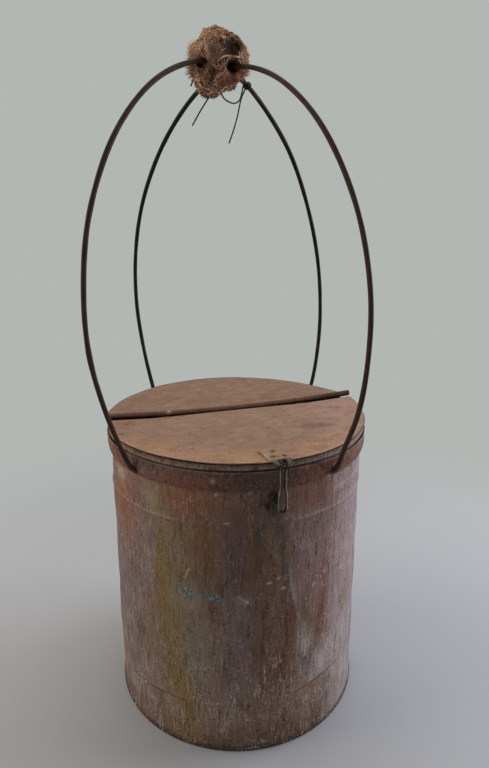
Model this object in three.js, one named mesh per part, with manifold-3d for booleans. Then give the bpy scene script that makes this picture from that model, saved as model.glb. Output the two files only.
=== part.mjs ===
// Rusty sheet-iron can with a half-hinged lid, a wire hasp and two crossing carrying hoops bound in coir.
// Millimetres, +Z up. The origin is on the can's axis at floor level, the hasp faces -Y and the lid's
// hinge runs along X. Azimuths are counted from -Y towards +X.
import * as THREE from "three";
import { mergeVertices } from "three/addons/utils/BufferGeometryUtils.js";
import Module from "manifold-3d";

// Driving dimensions
const SHEET = 1.0; // thickness of the sheet iron
const GAP = 0.3; // clearance between pieces that touch
const ROUND = 48; // facets round the can
const FOOT_RADIUS = 147.6; // outside of the wall just above the rolled foot
const MOUTH_RADIUS = 145.9; // outside of the wall under the rim band
const SHOULDER_Z = 305; // the wall tapers up to here and is straight above
const WALL_TOP = 345.3;
const FOOT_ROLL = 5; // height of the rolled foot edge
const BASE_Z = 2.7; // underside of the bottom plate
const BASE_FLANGE_TOP = 13;
const SWAGE_Z = 279; // shallow ring pressed out of the wall below the band
const SWAGE_RISE = 1.1;
const SEAM_AZ = -60; // free edge of the wall's lap seam
const SEAM_WIDTH = 26; // the overlap dies away over this width
const BAND_RADIUS = 150;
const BAND_TOP = 338;
const BAND_TURN = 329; // below this the band curves in to the wall
const BAND_BOTTOM = 317;
const LID_RADIUS = 150;
const LID_TOP = 348;
const SKIRT_RADIUS = 148.8;
const SKIRT_BOTTOM = 340;
const SKIRT_FLANGE_RADIUS = 145;
const HINGE_Y = 12; // the hinge line lies this far behind the can's axis
const PIN_RADIUS = 2.0;
const PIN_PLAY = 0.45;
const RAMP = 11; // the sheet climbs from the lid to the top of the roll over this run
const FLAP_SETBACK = [4.6, 7]; // from the hinge line to the flap's edge, in the middle and at its ends
const FLAP_FOLLOWS = 0.5; // share of the roll's rise that the flap's edge takes up
const ROLL_ENDS = [-148, 153]; // the roll stands a little over the lid at its right end
const ROLL_BOW = 5; // the old roll sags in the middle: rise of its ends over its middle
const ROLL_BLEND = 60; // the sag dies away in the fixed half over this distance
const KNUCKLE_X = 86;
const KNUCKLE_HALF = 7;
const KNUCKLE_PLAY = 0.6;
const HASP_PLATE = 1.2; // thickness
const HASP_REAR = 122; // radius of the plate's inner end
const HASP_BEND = 149.6; // radius where the plate turns down over the lid's edge
const HASP_DROOP = 20; // degrees
const HASP_LIP = 7.7; // length past the bend
const HASP_SLOT = [0.75, 3.9]; // start and end of the slot, measured along the lip
const HASP_SLOT_HALF = 4;
const HASP_WIRE = 1.2; // radius of the loop's wire
const HASP_LENGTH = 51; // from the strap's centre to the loop's lowest point
const RIVETS = [[-0.9, 129], [-5.9, 142], [5.5, 142]]; // x and radius of each rivet
const RIVET_HEAD = 2.5;
const RIVET_SHANK = 1.3;
const ROD_RADIUS = 2.5;
const HOOP_FOOT_RADIUS = 152.8; // rod centre where it reaches the band
const HOOP_FOOT_Z = 322;
const HOOP_STEP = 19; // length of the facets along a hoop
const TIE_WIRE = 0.8; // radius of the binding wire
const COIR_CENTRE = [-15.6, 4.8]; // middle of the wad in plan
const COIR_BOTTOM = 687.5;
const COIR_TOP = 754.5;
const COIR_RADIUS = 31.5;

// Each hoop lies in the plane through its feet's azimuths, and a foot may stand aside from that plane by some
// degrees. Its free run is given as distance along the chord and height.
const HOOP_A = {
  feet: [-63.5, 124],
  aside: [2, 0],
  run: [[-163, 352], [-178, 398], [-189, 450], [-190, 505], [-179, 572], [-148, 640], [-107, 686],
    [-66, 710], [-22, 720.2], [19, 710.4], [64, 682], [108, 640], [146, 578], [171, 510], [180, 440],
    [176, 388], [165, 346]],
};
const HOOP_B = {
  feet: [22, -152],
  aside: [2.5, 0],
  run: [[-164, 350], [-181, 395], [-189, 450], [-187, 510], [-169, 577], [-133, 640], [-95, 679],
    [-54, 703.8], [-9, 714.6], [36, 706], [81, 682], [129, 640], [169, 582], [189, 520], [192, 455],
    [180, 395], [164, 350]],
};

const radians = THREE.MathUtils.degToRad;
const onCan = (radius, azimuth, z) =>
  new THREE.Vector3(radius * Math.sin(radians(azimuth)), -radius * Math.cos(radians(azimuth)), z);
const wallRadius = (z) =>
  FOOT_RADIUS + (MOUTH_RADIUS - FOOT_RADIUS) * Math.min(z / SHOULDER_Z, 1);

const wasm = await Module();
wasm.setup();

// A closed geometry as a solid that can be cut and joined.
function solidOf(geometry) {
  const bare = geometry.clone();
  bare.deleteAttribute("normal");
  bare.deleteAttribute("uv");
  const merged = mergeVertices(bare, 1e-4);
  return new wasm.Manifold(
    new wasm.Mesh({
      numProp: 3,
      vertProperties: merged.attributes.position.array,
      triVerts: new Uint32Array(merged.index.array),
    }),
  );
}

function geometryOf(solid) {
  const { vertProperties, triVerts } = solid.getMesh();
  const geometry = new THREE.BufferGeometry();
  geometry.setAttribute("position", new THREE.BufferAttribute(vertProperties, 3));
  geometry.setIndex(new THREE.BufferAttribute(triVerts, 1));
  geometry.computeVertexNormals();
  return geometry;
}

const join = (...pieces) => geometryOf(pieces.map(solidOf).reduce((a, b) => a.add(b)));
const cut = (body, ...tools) =>
  geometryOf(tools.map(solidOf).reduce((left, tool) => left.subtract(tool), solidOf(body)));
const common = (body, region) => geometryOf(solidOf(body).intersect(solidOf(region)));

// A profile of [radius, height] pairs turned round the can's axis.
function revolve(profile, facets = ROUND) {
  const points = profile.map(([radius, z]) => new THREE.Vector2(radius, z));
  return new THREE.LatheGeometry(points, facets).rotateX(Math.PI / 2);
}

// A box given by its lowest and highest corners.
function block(low, high) {
  const size = high.map((value, axis) => value - low[axis]);
  return new THREE.BoxGeometry(...size).translate(...low.map((value, axis) => value + size[axis] / 2));
}

// Round bar along a smooth curve.
function bar(curve, radius, stepLength, sides = 12) {
  const section = new THREE.Shape().absarc(0, 0, radius, 0, 2 * Math.PI);
  const steps = Math.max(4, Math.round(curve.getLength() / stepLength));
  return new THREE.ExtrudeGeometry(section, { steps, curveSegments: sides / 2, extrudePath: curve });
}

const smoothCurve = (points) => new THREE.CatmullRomCurve3(points, false, "centripetal");
const vectors = (points) => points.map((point) => new THREE.Vector3(...point));

// Sheet carried through stations: every station is one section's middle line as [across, height] pairs
// at its own x, and the sheet stands half its thickness to each side of that line.
function bentSheet(stations, thickness) {
  const positions = [];
  for (const { x, line } of stations) {
    line.forEach(([y, z], i) => {
      const [y0, z0] = line[Math.max(i - 1, 0)];
      const [y1, z1] = line[Math.min(i + 1, line.length - 1)];
      const half = thickness / 2 / Math.hypot(y1 - y0, z1 - z0);
      positions.push(x, y + (z1 - z0) * half, z - (y1 - y0) * half);
      positions.push(x, y - (z1 - z0) * half, z + (y1 - y0) * half);
    });
  }
  const count = stations[0].line.length;
  const at = (station, i, side) => 2 * (station * count + i) + side;
  const faces = [];
  const quad = (a, b, c, d) => faces.push(a, b, c, a, c, d);
  for (let s = 0; s + 1 < stations.length; s++) {
    for (let i = 0; i + 1 < count; i++) {
      quad(at(s, i, 0), at(s, i + 1, 0), at(s + 1, i + 1, 0), at(s + 1, i, 0));
      quad(at(s, i, 1), at(s + 1, i, 1), at(s + 1, i + 1, 1), at(s, i + 1, 1));
    }
    quad(at(s, 0, 0), at(s + 1, 0, 0), at(s + 1, 0, 1), at(s, 0, 1));
    quad(at(s, count - 1, 0), at(s, count - 1, 1), at(s + 1, count - 1, 1), at(s + 1, count - 1, 0));
  }
  const last = stations.length - 1;
  for (let i = 0; i + 1 < count; i++) {
    quad(at(0, i, 0), at(0, i, 1), at(0, i + 1, 1), at(0, i + 1, 0));
    quad(at(last, i, 0), at(last, i + 1, 0), at(last, i + 1, 1), at(last, i, 1));
  }
  const geometry = new THREE.BufferGeometry();
  geometry.setAttribute("position", new THREE.Float32BufferAttribute(positions, 3));
  geometry.setIndex(faces);
  return geometry;
}

// Body: wall, bottom plate and rim band
function bodyWall(footHoles) {
  const outside = [];
  const inside = [];
  for (const [z, rise] of [
    [SWAGE_Z - 4, 0], [SWAGE_Z, 1], [SWAGE_Z + 4, 0], [SHOULDER_Z, 0], [WALL_TOP, 0],
  ]) {
    const radius = wallRadius(z) + SWAGE_RISE * rise;
    outside.push([radius, z]);
    inside.unshift([radius - SHEET, z]);
  }
  const rollBulge = 1.4;
  const foot = [
    [FOOT_RADIUS - SHEET, 0], [FOOT_RADIUS + 0.4 * rollBulge, 0], [FOOT_RADIUS + rollBulge, 0.3 * FOOT_ROLL],
    [FOOT_RADIUS + rollBulge, 0.7 * FOOT_ROLL], [FOOT_RADIUS, FOOT_ROLL],
  ];
  const wall = revolve([...foot, ...outside, ...inside, foot[0]]);
  return cut(join(wall, lapSeam()), ...footHoles);
}

// The wall's overlapping end: a full step at the free edge that dies away round the can.
function lapSeam() {
  const parts = 6;
  const low = FOOT_ROLL + 1;
  const sweep = THREE.MathUtils.radToDeg(SEAM_WIDTH / MOUTH_RADIUS);
  const outline = [];
  for (let i = 0; i <= parts; i++) {
    const { x, y } = onCan(MOUTH_RADIUS + SHEET * 0.9 * (1 - i / parts), SEAM_AZ + (sweep * i) / parts, 0);
    outline.push(new THREE.Vector2(x, y));
  }
  for (let i = parts; i >= 0; i--) {
    const { x, y } = onCan(MOUTH_RADIUS - SHEET / 2, SEAM_AZ + (sweep * i) / parts, 0);
    outline.push(new THREE.Vector2(x, y));
  }
  const strip = new THREE.ExtrudeGeometry(new THREE.Shape(outline), {
    depth: SHOULDER_Z - low,
    bevelEnabled: false,
  }).translate(0, 0, low);
  const position = strip.attributes.position;
  for (let i = 0; i < position.count; i++) {
    const spread = wallRadius(position.getZ(i)) / MOUTH_RADIUS;
    position.setXY(i, position.getX(i) * spread, position.getY(i) * spread);
  }
  return strip;
}

function bottomPlate() {
  const radius = FOOT_RADIUS - SHEET - GAP - 0.1;
  return revolve([
    [0, BASE_Z], [radius, BASE_Z], [radius, BASE_FLANGE_TOP], [radius - SHEET, BASE_FLANGE_TOP],
    [radius - SHEET, BASE_Z + SHEET], [0, BASE_Z + SHEET],
  ]);
}

function rimBand(footHoles) {
  const turnIn = 3;
  const tip = MOUTH_RADIUS + GAP;
  const outside = [];
  const inside = [];
  for (let i = 0; i <= turnIn; i++) {
    const angle = (i / turnIn) * (Math.PI / 2);
    const depth = 1 - Math.cos(angle);
    const z = BAND_TURN - (BAND_TURN - BAND_BOTTOM) * Math.sin(angle);
    outside.unshift([BAND_RADIUS - (BAND_RADIUS - tip - SHEET) * depth, z]);
    inside.push([BAND_RADIUS - SHEET - (BAND_RADIUS - tip - SHEET) * depth, z]);
  }
  const ring = revolve([
    ...outside, [BAND_RADIUS, BAND_TOP - 0.4], [BAND_RADIUS - 0.4, BAND_TOP],
    [BAND_RADIUS - SHEET, BAND_TOP], ...inside, outside[0],
  ]);
  return cut(ring, ...footHoles);
}

// Lid: a fixed rear half, a hinged front half, and the turned ring of strip under each
const SHEET_MID = LID_TOP - SHEET / 2;
const ROLL_MID = PIN_RADIUS + PIN_PLAY + SHEET / 2;
const HINGE_Z = SHEET_MID + ROLL_MID;

// Height of the sagging roll over the straight hinge axis; it crosses that axis at the flap's knuckles.
const rollBow = (x) => (ROLL_BOW * (x * x - KNUCKLE_X * KNUCKLE_X)) / (LID_RADIUS * LID_RADIUS);

// Half the lid's depth at a distance from its middle.
const lidEdge = (x) => Math.sqrt(Math.max(LID_RADIUS * LID_RADIUS - x * x, 0));

// Middle line of a sheet curled round the pin, in the hinge's section: angles in degrees from the rear.
function curlLine(from, to) {
  const parts = 9;
  const line = [];
  for (let i = 0; i <= parts; i++) {
    const angle = radians(from + ((to - from) * i) / parts);
    line.push([HINGE_Y + ROLL_MID * Math.cos(angle), HINGE_Z + ROLL_MID * Math.sin(angle)]);
  }
  return line;
}

// The fixed half's edge: up a ramp from the flat lid, over the pin and round under it.
function rolledEdge() {
  const parts = 4;
  const line = [];
  for (let i = 0; i < parts; i++) {
    const along = i / parts;
    const height = ROLL_MID * (2 * THREE.MathUtils.smoothstep(along, 0, 1) - 1);
    line.push([HINGE_Y + RAMP * (1 - along), HINGE_Z + height]);
  }
  return [...line, ...curlLine(90, 325)];
}

function rearLid() {
  const columns = 22;
  const stations = [];
  for (let c = 0; c <= columns; c++) {
    const turn = radians(-90 + (180 * c) / columns);
    const x = THREE.MathUtils.mapLinear(Math.sin(turn), -1, 1, ...ROLL_ENDS);
    const rim = Math.max(lidEdge(x), HINGE_Y + RAMP + 1.5);
    const line = [1, 0.6, 0.3, 0.08].map((share) => [
      HINGE_Y + RAMP + (rim - HINGE_Y - RAMP) * share, SHEET_MID,
    ]);
    const sagging = [...line, ...rolledEdge()].map(([y, z]) => {
      const fade = 1 - THREE.MathUtils.smoothstep(y, HINGE_Y, HINGE_Y + ROLL_BLEND);
      return [y, z + rollBow(x) * fade];
    });
    stations.push({ x, line: sagging });
  }
  const half = KNUCKLE_HALF + KNUCKLE_PLAY;
  const reach = 6.5; // of each slot, to every side of the hinge line
  const slots = [-KNUCKLE_X, KNUCKLE_X].map((x) =>
    block([x - half, HINGE_Y - reach, HINGE_Z - reach], [x + half, HINGE_Y + reach, HINGE_Z + reach]),
  );
  return cut(bentSheet(stations, SHEET), ...slots);
}

function lidFlap(rivetHoles) {
  const columns = 40;
  const corner = 89.6; // degrees: the outline's ends are blunt
  const stations = [];
  for (let c = 0; c <= columns; c++) {
    const x = LID_RADIUS * Math.sin(radians(corner * ((2 * c) / columns - 1)));
    const [middle, end] = FLAP_SETBACK;
    const setback = middle + ((end - middle) * x * x) / (LID_RADIUS * LID_RADIUS);
    const rear = Math.min(HINGE_Y - setback, lidEdge(x));
    const rise = FLAP_FOLLOWS * Math.max(rollBow(x), 0);
    const line = [0, 0.15, 0.35, 1].map((share) => {
      const y = rear - (rear + lidEdge(x)) * share;
      const fade = 1 - THREE.MathUtils.smoothstep(HINGE_Y - y, setback, ROLL_BLEND);
      return [y, SHEET_MID + rise * fade];
    });
    stations.push({ x, line });
  }
  const tail = [HINGE_Y - RAMP, SHEET_MID];
  const line = [...curlLine(200, -90), tail]; // runs under the pin and is curled up behind it and over
  const knuckles = [-KNUCKLE_X, KNUCKLE_X].map((x) =>
    bentSheet([{ x: x - KNUCKLE_HALF, line }, { x: x + KNUCKLE_HALF, line }], SHEET),
  );
  return cut(join(bentSheet(stations, SHEET), ...knuckles), ...rivetHoles);
}

// Strip bent to an angle and rolled to the lid's curve: a skirt below and a flange under the lid.
function lidSkirt(fromY, toY) {
  const inner = SKIRT_RADIUS - SHEET * 0.9;
  const top = LID_TOP - SHEET - GAP;
  const under = top - SHEET * 0.9;
  const ring = revolve([
    [inner, SKIRT_BOTTOM], [SKIRT_RADIUS, SKIRT_BOTTOM], [SKIRT_RADIUS, top - 2.3],
    [SKIRT_RADIUS - 0.6, top - 0.9], [SKIRT_RADIUS - 2, top], [SKIRT_FLANGE_RADIUS, top],
    [SKIRT_FLANGE_RADIUS, under], [inner - 1.2, under], [inner, under - 1.2], [inner, SKIRT_BOTTOM],
  ]);
  const wide = LID_RADIUS + 10;
  return common(ring, block([-wide, fromY, SKIRT_BOTTOM - 10], [wide, toY, LID_TOP + 10]));
}

function hingePin() {
  const points = [];
  const [left, right] = ROLL_ENDS;
  for (let i = 0; i <= 16; i++) {
    const x = THREE.MathUtils.lerp(left + 1, right - 1, i / 16);
    points.push(new THREE.Vector3(x, HINGE_Y, HINGE_Z + rollBow(x)));
  }
  return bar(smoothCurve(points), PIN_RADIUS, 18, 10);
}

// Hasp: plate riveted to the flap, and the wire loop hooked over the strap at its end
const HASP_Z = LID_TOP + GAP + HASP_PLATE / 2;
const STRAP_AT = (HASP_SLOT[1] + HASP_LIP) / 2;
const HASP_AXIS = {
  y: -HASP_BEND - STRAP_AT * Math.cos(radians(HASP_DROOP)),
  z: HASP_Z - STRAP_AT * Math.sin(radians(HASP_DROOP)),
};

const rivetHole = ([x, radius]) =>
  new THREE.CylinderGeometry(RIVET_SHANK + GAP, RIVET_SHANK + GAP, 12, 12)
    .rotateX(Math.PI / 2)
    .translate(x, -radius, LID_TOP);

// Flat plate cut to an outline of [x, distance] corners, distance running towards -Y.
function platePiece(outline) {
  const shape = new THREE.Shape(outline.map(([x, along]) => new THREE.Vector2(x, -along)));
  return new THREE.ExtrudeGeometry(shape, { depth: HASP_PLATE, bevelEnabled: false }).translate(
    0, 0, -HASP_PLATE / 2,
  );
}

function haspPlate() {
  const length = HASP_BEND - HASP_REAR;
  const flat = platePiece([
    [-11.5, length], [-15.5, 3], [-13.5, 0], [12.5, 0], [14.5, 2.5], [11.5, length],
  ]).translate(0, -HASP_REAR, HASP_Z);
  const tongue = platePiece([
    [-11.5, 0], [11.5, 0], [7, HASP_LIP - 1.5], [5, HASP_LIP], [-5, HASP_LIP], [-7, HASP_LIP - 1.5],
  ]);
  const [slotStart, slotEnd] = HASP_SLOT;
  const slot = block([-HASP_SLOT_HALF, -slotEnd, -2], [HASP_SLOT_HALF, -slotStart, 2]);
  const lip = cut(tongue, slot).rotateX(radians(HASP_DROOP)).translate(0, -HASP_BEND, HASP_Z);
  const knee = new THREE.CylinderGeometry(HASP_PLATE / 2, HASP_PLATE / 2, 23, 12)
    .rotateZ(Math.PI / 2)
    .translate(0, -HASP_BEND, HASP_Z);
  return cut(join(flat, lip, knee), ...RIVETS.map(rivetHole));
}

// Domed head on the plate, shank through plate and lid, small spread end below.
function haspRivet([x, radius]) {
  const seat = HASP_Z + HASP_PLATE / 2 + GAP;
  const below = LID_TOP - SHEET - GAP;
  return revolve(
    [
      [0, below - 1], [RIVET_SHANK + 0.6, below - 0.8], [RIVET_SHANK + 0.9, below], [RIVET_SHANK, below],
      [RIVET_SHANK, seat], [RIVET_HEAD, seat], [RIVET_HEAD * 0.9, seat + 0.6],
      [RIVET_HEAD * 0.55, seat + 1.2], [0, seat + 1.4],
    ],
    12,
  ).translate(x, -radius, 0);
}

function haspLoop() {
  const hook = Math.hypot((HASP_LIP - HASP_SLOT[1]) / 2, HASP_PLATE / 2) + GAP + HASP_WIRE;
  const shank = 2.35; // half the distance between the two wires
  const eye = 3.7; // the same at the lower eye
  const half = [];
  for (let angle = 230; angle >= -40; angle -= 22.5) {
    half.push([shank, hook * Math.cos(radians(angle)), hook * Math.sin(radians(angle))]);
  }
  half.push([shank, 0.6, -5.4], [shank, 0, -8.5], [shank, 0, -18], [shank, 0, -27], [eye - 0.3, 0, -31.5]);
  half.push([eye, 0, -35], [eye, 0, -HASP_LENGTH + HASP_WIRE + eye + 0.8]);
  for (const angle of [25, 55, 90]) {
    const drop = (eye + 0.8) * Math.sin(radians(angle));
    half.push([eye * Math.cos(radians(angle)), 0, -HASP_LENGTH + HASP_WIRE + eye + 0.8 - drop]);
  }
  const other = half.slice(0, -1).reverse().map(([x, out, up]) => [-x, out, up]);
  const points = [...half, ...other].map(
    ([x, out, up]) => new THREE.Vector3(x, HASP_AXIS.y - out, HASP_AXIS.z + up),
  );
  return bar(smoothCurve(points), HASP_WIRE, 2.4, 8);
}

// Hoops: each is one rod whose ends turn in through the band and the wall and are spread inside
function hoopCurve({ feet, aside, run }) {
  const [first, second] = feet.map((azimuth) => onCan(HOOP_FOOT_RADIUS, azimuth, 0));
  const middle = first.clone().add(second).multiplyScalar(0.5);
  const half = first.distanceTo(second) / 2;
  const along = second.clone().sub(first).normalize();
  const place = ([u, z]) => middle.clone().addScaledVector(along, u).setZ(z);
  const foot = [[half - 11.5, HOOP_FOOT_Z], [half - 5, HOOP_FOOT_Z + 0.2], [half + 0.6, HOOP_FOOT_Z + 4.5]];
  const [left, right] = [first, second].map((end, i) => {
    const shift = onCan(HOOP_FOOT_RADIUS, feet[i] + aside[i], 0).sub(end);
    return foot.map(([u, z]) => place([i === 0 ? -u : u, z]).add(shift));
  });
  return smoothCurve([...left, ...run.map(place), ...right.reverse()]);
}

function hoop(curve) {
  const spread = 1.6;
  const heads = [0, 1].map((end) => {
    const at = curve.getPointAt(end);
    const radius = (MOUTH_RADIUS - SHEET) * Math.cos(Math.PI / ROUND) - GAP - spread / 2;
    const azimuth = Math.atan2(at.x, -at.y);
    return new THREE.CylinderGeometry(ROD_RADIUS + 1.4, ROD_RADIUS + 1, spread, 14)
      .translate(0, -radius, 0)
      .rotateZ(azimuth)
      .translate(0, 0, at.z);
  });
  return join(bar(curve, ROD_RADIUS, HOOP_STEP, 10), ...heads);
}

const hoopA = hoopCurve(HOOP_A);
const hoopB = hoopCurve(HOOP_B);
const footHoles = [hoopA, hoopB].map((curve) => bar(curve, ROD_RADIUS + GAP + 0.1, HOOP_STEP, 10));

// Binding wire: a lashing where the hoops cross, and the loose ends that stick out of the wad
const CROSSING = new THREE.Vector3(-11.2, 5, 715.9);

// Two turns round both rods, in the upright plane that halves the angle between them.
function crossingTieCurve() {
  const turns = 2;
  const stepsPerTurn = 14;
  const pitch = 2.1; // from one turn to the next, more than the wire's diameter
  const across = new THREE.Vector3(7.2, 0, 0).applyAxisAngle(new THREE.Vector3(0, 0, 1), radians(-17));
  const up = new THREE.Vector3(0, 0, 8);
  const advance = up.clone().cross(across).setLength((pitch * turns) / 2);
  const points = [];
  for (let i = 0; i <= turns * stepsPerTurn; i++) {
    const angle = (2 * Math.PI * i) / stepsPerTurn;
    points.push(
      CROSSING.clone()
        .addScaledVector(across, Math.cos(angle))
        .addScaledVector(up, Math.sin(angle))
        .addScaledVector(advance, (2 * i) / (turns * stepsPerTurn) - 1),
    );
  }
  return smoothCurve(points);
}

// The long end sags from the wad to the rear right leg, takes two turns round it and hangs stiffly.
function longTieCurve() {
  const wrapAt = 0.55; // share of the hoop's length
  const turns = 2;
  const stepsPerTurn = 10;
  const pitch = 2.3;
  const coil = ROD_RADIUS + TIE_WIRE + GAP;
  const centre = hoopA.getPointAt(wrapAt);
  const along = hoopA.getTangentAt(wrapAt);
  const side = new THREE.Vector3(0, 0, 1).cross(along).normalize();
  const over = along.clone().cross(side);
  const path = vectors([[-14, 6, 696], [-9.5, 7.5, 688.8], [2.7, 13.8, 685.6], [11.5, 20.5, 690.5]]);
  for (let i = 0; i <= turns * stepsPerTurn; i++) {
    const angle = (2 * Math.PI * i) / stepsPerTurn + Math.PI / 2;
    const shift = pitch * (i / stepsPerTurn - turns / 2);
    path.push(
      centre
        .clone()
        .addScaledVector(along, shift)
        .addScaledVector(side, coil * Math.sin(angle))
        .addScaledVector(over, coil * Math.cos(angle)),
    );
  }
  path.push(...vectors([[15.2, 26.5, 693], [10, 23.5, 675.5], [4.4, 20.6, 660], [-1.4, 18, 646.7]]));
  return smoothCurve(path);
}

const shortTieCurve = smoothCurve(
  vectors([[-22, 7.8, 697], [-25.8, 7.9, 689.2], [-35.5, 6.7, 675], [-44.3, 5.2, 661.1]]),
);
const stubTieCurve = smoothCurve(vectors([[-35, 15, 714], [-39.2, 16.2, 706.6], [-42.3, 17.1, 700.1]]));
const tieCurves = {
  crossing_tie: crossingTieCurve(),
  tie_wire_long: longTieCurve(),
  tie_wire_short: shortTieCurve,
  tie_wire_stub: stubTieCurve,
};

// Coir wad: an egg with its narrow end down, tunnelled for the rods and the wire inside it.
function coirGrip() {
  const rings = 9;
  const middle = (COIR_TOP + COIR_BOTTOM) / 2;
  const tall = (COIR_TOP - COIR_BOTTOM) / 2;
  const profile = [];
  for (let i = 0; i <= rings; i++) {
    const polar = Math.PI * (1 - i / rings);
    const taper = 1 - 0.16 * Math.max(0, -Math.cos(polar));
    profile.push([COIR_RADIUS * taper * Math.sin(polar), middle + tall * Math.cos(polar)]);
  }
  profile[0][0] = 0;
  profile[rings][0] = 0;
  const egg = revolve(profile, 20).translate(...COIR_CENTRE, 0);
  const rods = [hoopA, hoopB].map((curve) => bar(curve, ROD_RADIUS + 2 * GAP, HOOP_STEP, 10));
  const wires = Object.values(tieCurves).map((curve) => bar(curve, TIE_WIRE + 2 * GAP, 3, 6));
  return cut(egg, ...rods, ...wires);
}

// Assembly
const finish = (color, roughness, metalness) =>
  new THREE.MeshStandardMaterial({ color, roughness, metalness });
const rustedWall = finish(0x6b5148, 0.85, 0.15);
const rustedBand = finish(0x5a3f35, 0.85, 0.2);
const dustyLid = finish(0x94735f, 0.9, 0.1);
const blackIron = finish(0x3a2a25, 0.7, 0.4);
const rustyWire = finish(0x4a3128, 0.75, 0.35);
const coir = finish(0x8a6342, 1, 0);

const bucket = new THREE.Group();
function add(name, geometry, material) {
  const mesh = new THREE.Mesh(geometry, material);
  mesh.name = name;
  bucket.add(mesh);
}

add("body_wall", bodyWall(footHoles), rustedWall);
add("bottom_plate", bottomPlate(), rustedWall);
add("rim_band", rimBand(footHoles), rustedBand);
add("rear_lid", rearLid(), dustyLid);
add("rear_skirt", lidSkirt(HINGE_Y + 6, LID_RADIUS + 10), rustedBand);
add("hinge_pin", hingePin(), blackIron);
add("lid_flap", lidFlap(RIVETS.map(rivetHole)), dustyLid);
add("flap_skirt", lidSkirt(-LID_RADIUS - 10, HINGE_Y - FLAP_SETBACK[1] - GAP), rustedBand);
add("hasp_plate", haspPlate(), rustedBand);
RIVETS.forEach((rivet, i) => add(`hasp_rivet_${i + 1}`, haspRivet(rivet), rustedBand));
add("hasp_loop", haspLoop(), blackIron);
add("hoop_a", hoop(hoopA), blackIron);
add("hoop_b", hoop(hoopB), blackIron);
add("coir_grip", coirGrip(), coir);
for (const [name, curve] of Object.entries(tieCurves)) {
  add(name, bar(curve, TIE_WIRE, 2.6, 6), rustyWire);
}

export default bucket;
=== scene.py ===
"""Rusty sheet-iron can with a half-hinged lid, a wire hasp and crossing carrying hoops bound in coir."""
import math

import bmesh
import bpy
import numpy as np
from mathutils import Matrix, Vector


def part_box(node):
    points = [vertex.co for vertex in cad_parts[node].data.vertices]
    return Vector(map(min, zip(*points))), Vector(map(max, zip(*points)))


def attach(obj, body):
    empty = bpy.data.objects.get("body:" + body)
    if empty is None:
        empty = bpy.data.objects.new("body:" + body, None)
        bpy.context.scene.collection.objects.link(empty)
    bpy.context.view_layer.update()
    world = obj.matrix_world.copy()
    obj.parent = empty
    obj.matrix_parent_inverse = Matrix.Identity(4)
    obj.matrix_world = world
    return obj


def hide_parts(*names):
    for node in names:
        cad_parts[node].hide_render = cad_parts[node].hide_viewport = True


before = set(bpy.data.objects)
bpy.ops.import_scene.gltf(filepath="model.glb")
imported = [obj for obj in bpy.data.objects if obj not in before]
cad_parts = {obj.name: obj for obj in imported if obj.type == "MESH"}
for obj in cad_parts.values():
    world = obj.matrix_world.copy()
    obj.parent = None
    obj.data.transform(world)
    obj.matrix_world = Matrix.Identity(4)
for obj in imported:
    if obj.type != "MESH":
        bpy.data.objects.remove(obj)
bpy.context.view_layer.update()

# Camera and studio
# The can stands on a plain pale floor between two large soft lamps, one cooler than the other, with a third
# overhead. The camera is a little left of the hasp and looks down on the lid.
MM = 0.001  # sizes are in millimetres, the scene is in metres
CAMERA_AT = Vector((-195.1, -644.6, 579.9)) * MM
CAMERA_AIM = Vector((8.8, -4.6, 382.9)) * MM
CAMERA_LENS = 28.1  # on a 36 mm frame
LAMPS = {
    "left_lamp": {"azimuth": -104, "height": 900, "far": 1500, "wide": 1200, "watts": 15, "hex": "fff6ea"},
    "right_lamp": {"azimuth": 88, "height": 800, "far": 1500, "wide": 1200, "watts": 23, "hex": "eef1ff"},
    "top_lamp": {"azimuth": 150, "height": 1900, "far": 500, "wide": 1200, "watts": 12, "hex": "fffdf8"},
}
LAMP_AIM = Vector((0, 0, 250)) * MM
AIR_LIGHT = 0.3  # strength of the even light from all round
AIR_HEX = "f4f6f8"
BACKDROP_HEX = "b2b7b4"


def srgb(text):
    """Linear RGBA of an sRGB hex colour: each channel goes through the sRGB curve."""
    channel = np.array([int(text[i:i + 2], 16) for i in (0, 2, 4)]) / 255
    linear = np.where(channel <= 0.04045, channel / 12.92, ((channel + 0.055) / 1.055) ** 2.4)
    return (*linear.tolist(), 1.0)


def add(tree, kind, sockets=None, **settings):
    """Adds one shader node; sockets holds input values or the outputs to link, by name or number."""
    made = tree.nodes.new("ShaderNode" + kind)
    for name, value in settings.items():
        setattr(made, name, value)
    for name, value in (sockets or {}).items():
        if isinstance(value, bpy.types.NodeSocket):
            tree.links.new(value, made.inputs[name])
        else:
            made.inputs[name].default_value = value
    return made


def seen_directly(tree):
    """One for a ray that shows the background to the camera, straight or in a reflection, else nought: the
    greatest of the three ray flags."""
    ray = add(tree, "LightPath").outputs
    shown = ray["Is Camera Ray"]
    for kind in ("Is Glossy Ray", "Is Transmission Ray"):
        shown = add(tree, "Math", {0: shown, 1: ray[kind]}, operation="MAXIMUM").outputs[0]
    return shown


scene = bpy.context.scene
scene.view_settings.view_transform = "Standard"
camera = bpy.data.objects.new("camera", bpy.data.cameras.new("camera"))
camera.data.lens = CAMERA_LENS
camera.location = CAMERA_AT
camera.rotation_euler = (CAMERA_AIM - CAMERA_AT).to_track_quat("-Z", "Y").to_euler()
scene.collection.objects.link(camera)
scene.camera = camera

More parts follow.
